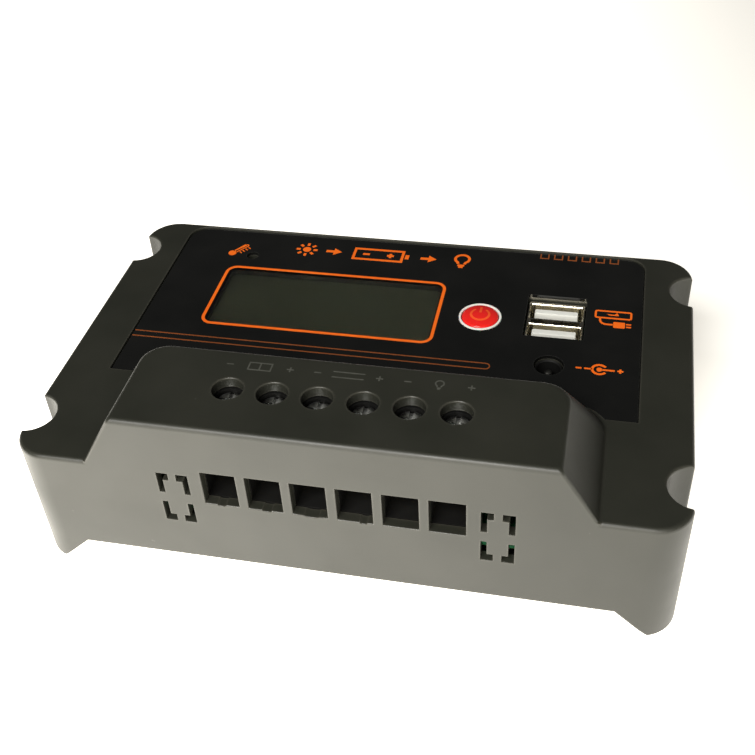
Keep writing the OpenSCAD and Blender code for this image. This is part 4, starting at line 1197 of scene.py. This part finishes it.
# %% Give every remaining frame piece its finish
finish_of_slot = {
    "housing_black": housing_plastic, "screw_steel": screw_steel, "panel_gloss": panel_gloss,
    "window_clear": window_clear, "ring_white": ring_white, "button_red": button_red,
    "part_black": part_black, "plunger_tan": plunger_tan, "board_green": board_green,
    "lcd_grey": lcd_grey, "light_guide": light_guide, "tinned": tinned, "sensor_black": sensor_black,
    "plated_brass": plated_brass, "shell_nickel": shell_nickel, "tongue_white": tongue_white,
    "spreader_aluminium": spreader_aluminium, "pad_grey": pad_grey, "can_blue": can_blue,
    "ferrite": ferrite, "copper_wire": copper_wire}
for node, piece in frame["nodes"].items():
    for holder in piece.material_slots:
        holder.link = "OBJECT"
        holder.material = finish_of_slot[slot_of_node[node]]
print("frame pieces with a finish:", len(frame["nodes"]))

# %% [markdown]
# ## Camera, light and floor
# The camera stands in front, a little to the right, and looks down at about forty degrees. A black
# product is lit by what it mirrors. The floor is a light table, much brighter than the object, and the
# satin front wall mirrors it, while the tops mirror the dim room behind and stay dark. One soft box high
# in front brightens the printing, and a wide low card draws a line of light along each rounded front edge.

# %% Camera, light and floor
camera_data = bpy.data.cameras.new("camera")
camera_data.sensor_width = 36.0
camera_data.lens = 51.68
camera_data.clip_start = 0.01
camera = bpy.data.objects.new("camera", camera_data)
bpy.context.scene.collection.objects.link(camera)
looking = Vector((-0.18808581, 0.73434438, -0.65219786))
upward = Vector((-0.09823012, 0.64665473, 0.75643143))
camera.matrix_world = Matrix.Translation((0.0512, -0.2007, 0.2044)) @ Matrix(
    (looking.cross(upward), upward, -looking)).transposed().to_4x4()
bpy.context.scene.camera = camera


def soft_light(name, place, target, size, power, colour=(1, 1, 1)):
    """A square soft box that faces a point; places in metres, power in watts."""
    data = bpy.data.lights.new(name, "AREA")
    data.shape = "RECTANGLE"
    data.size, data.size_y = size
    data.energy = power
    data.color = colour
    lamp = bpy.data.objects.new(name, data)
    lamp.location = place
    lamp.rotation_euler = (Vector(target) - Vector(place)).to_track_quat("-Z", "Y").to_euler()
    bpy.context.scene.collection.objects.link(lamp)
    return lamp


KEY_WARMTH, CARD_WARMTH = (1.0, 0.98, 0.94), (1.0, 0.96, 0.86)
soft_light("key_box", (-0.2, -0.7, 0.85), (0, 0, 0.03), (0.5, 0.26), 11.5, KEY_WARMTH)
soft_light("front_card", (0.0, -0.75, 0.36), (0, 0, 0.03), (1.1, 0.6), 7.5, CARD_WARMTH)

world = bpy.data.worlds.new("studio")
world.use_nodes = True
bpy.context.scene.world = world
sky = world.node_tree
dim = sky.nodes["Background"]
dim.inputs["Color"].default_value = (1, 1, 1, 1)
dim.inputs["Strength"].default_value = 0.05
pale = sky.nodes.new("ShaderNodeBackground")
pale.inputs["Strength"].default_value = 1.0
pale.inputs["Color"].default_value = (1, 1, 1, 1)
seen = sky.nodes.new("ShaderNodeLightPath")
choose = sky.nodes.new("ShaderNodeMixShader")
sky.links.new(seen.outputs["Is Camera Ray"], choose.inputs[0])
sky.links.new(dim.outputs[0], choose.inputs[1])
sky.links.new(pale.outputs[0], choose.inputs[2])
sky.links.new(choose.outputs[0], sky.nodes["World Output"].inputs["Surface"])

floor_shape = bmesh.new()
bmesh.ops.create_grid(floor_shape, x_segments=1, y_segments=1, size=2.5)
floor = new_object("floor", floor_shape)
floor_paint, floor_tree, floor_shader = new_material("pale_floor", (0.92, 0.92, 0.91), 0.8)
floor_shader.inputs["Emission Color"].default_value = (1, 0.95, 0.84, 1)


def fall_off(axis, start, end, near, far):
    """The light table's strength along one floor axis; places in metres."""
    place = floor_tree.nodes.new("ShaderNodeTexCoord")
    split = floor_tree.nodes.new("ShaderNodeSeparateXYZ")
    floor_tree.links.new(place.outputs["Object"], split.inputs[0])
    return spread(floor_tree, split.outputs[axis], near, far, start, end)


table_light = floor_tree.nodes.new("ShaderNodeMath")
table_light.operation = "MULTIPLY"
floor_tree.links.new(fall_off("Y", -0.06, 0.06, 3.1, 1.0), table_light.inputs[0])
# the strip of floor that the right end of the front wall mirrors is dimmer; further off it is bright again
across = floor_tree.nodes.new("ShaderNodeMath")
across.operation = "ADD"
floor_tree.links.new(fall_off("X", -0.05, 0.11, 1.0, 0.38), across.inputs[0])
floor_tree.links.new(fall_off("X", 0.16, 0.4, 0.0, 0.7), across.inputs[1])
floor_tree.links.new(across.outputs[0], table_light.inputs[1])
floor_tree.links.new(table_light.outputs[0], floor_shader.inputs["Emission Strength"])
floor.data.materials.append(floor_paint)
floor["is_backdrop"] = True
bpy.context.scene.view_settings.view_transform = "Standard"

# %% [markdown]
# ## Measuring the size and closing
# Last, we measure everything that was made. It has to agree with the size of the engineering model,
# because looks must not change how big a part is.

# %% Close
low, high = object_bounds()
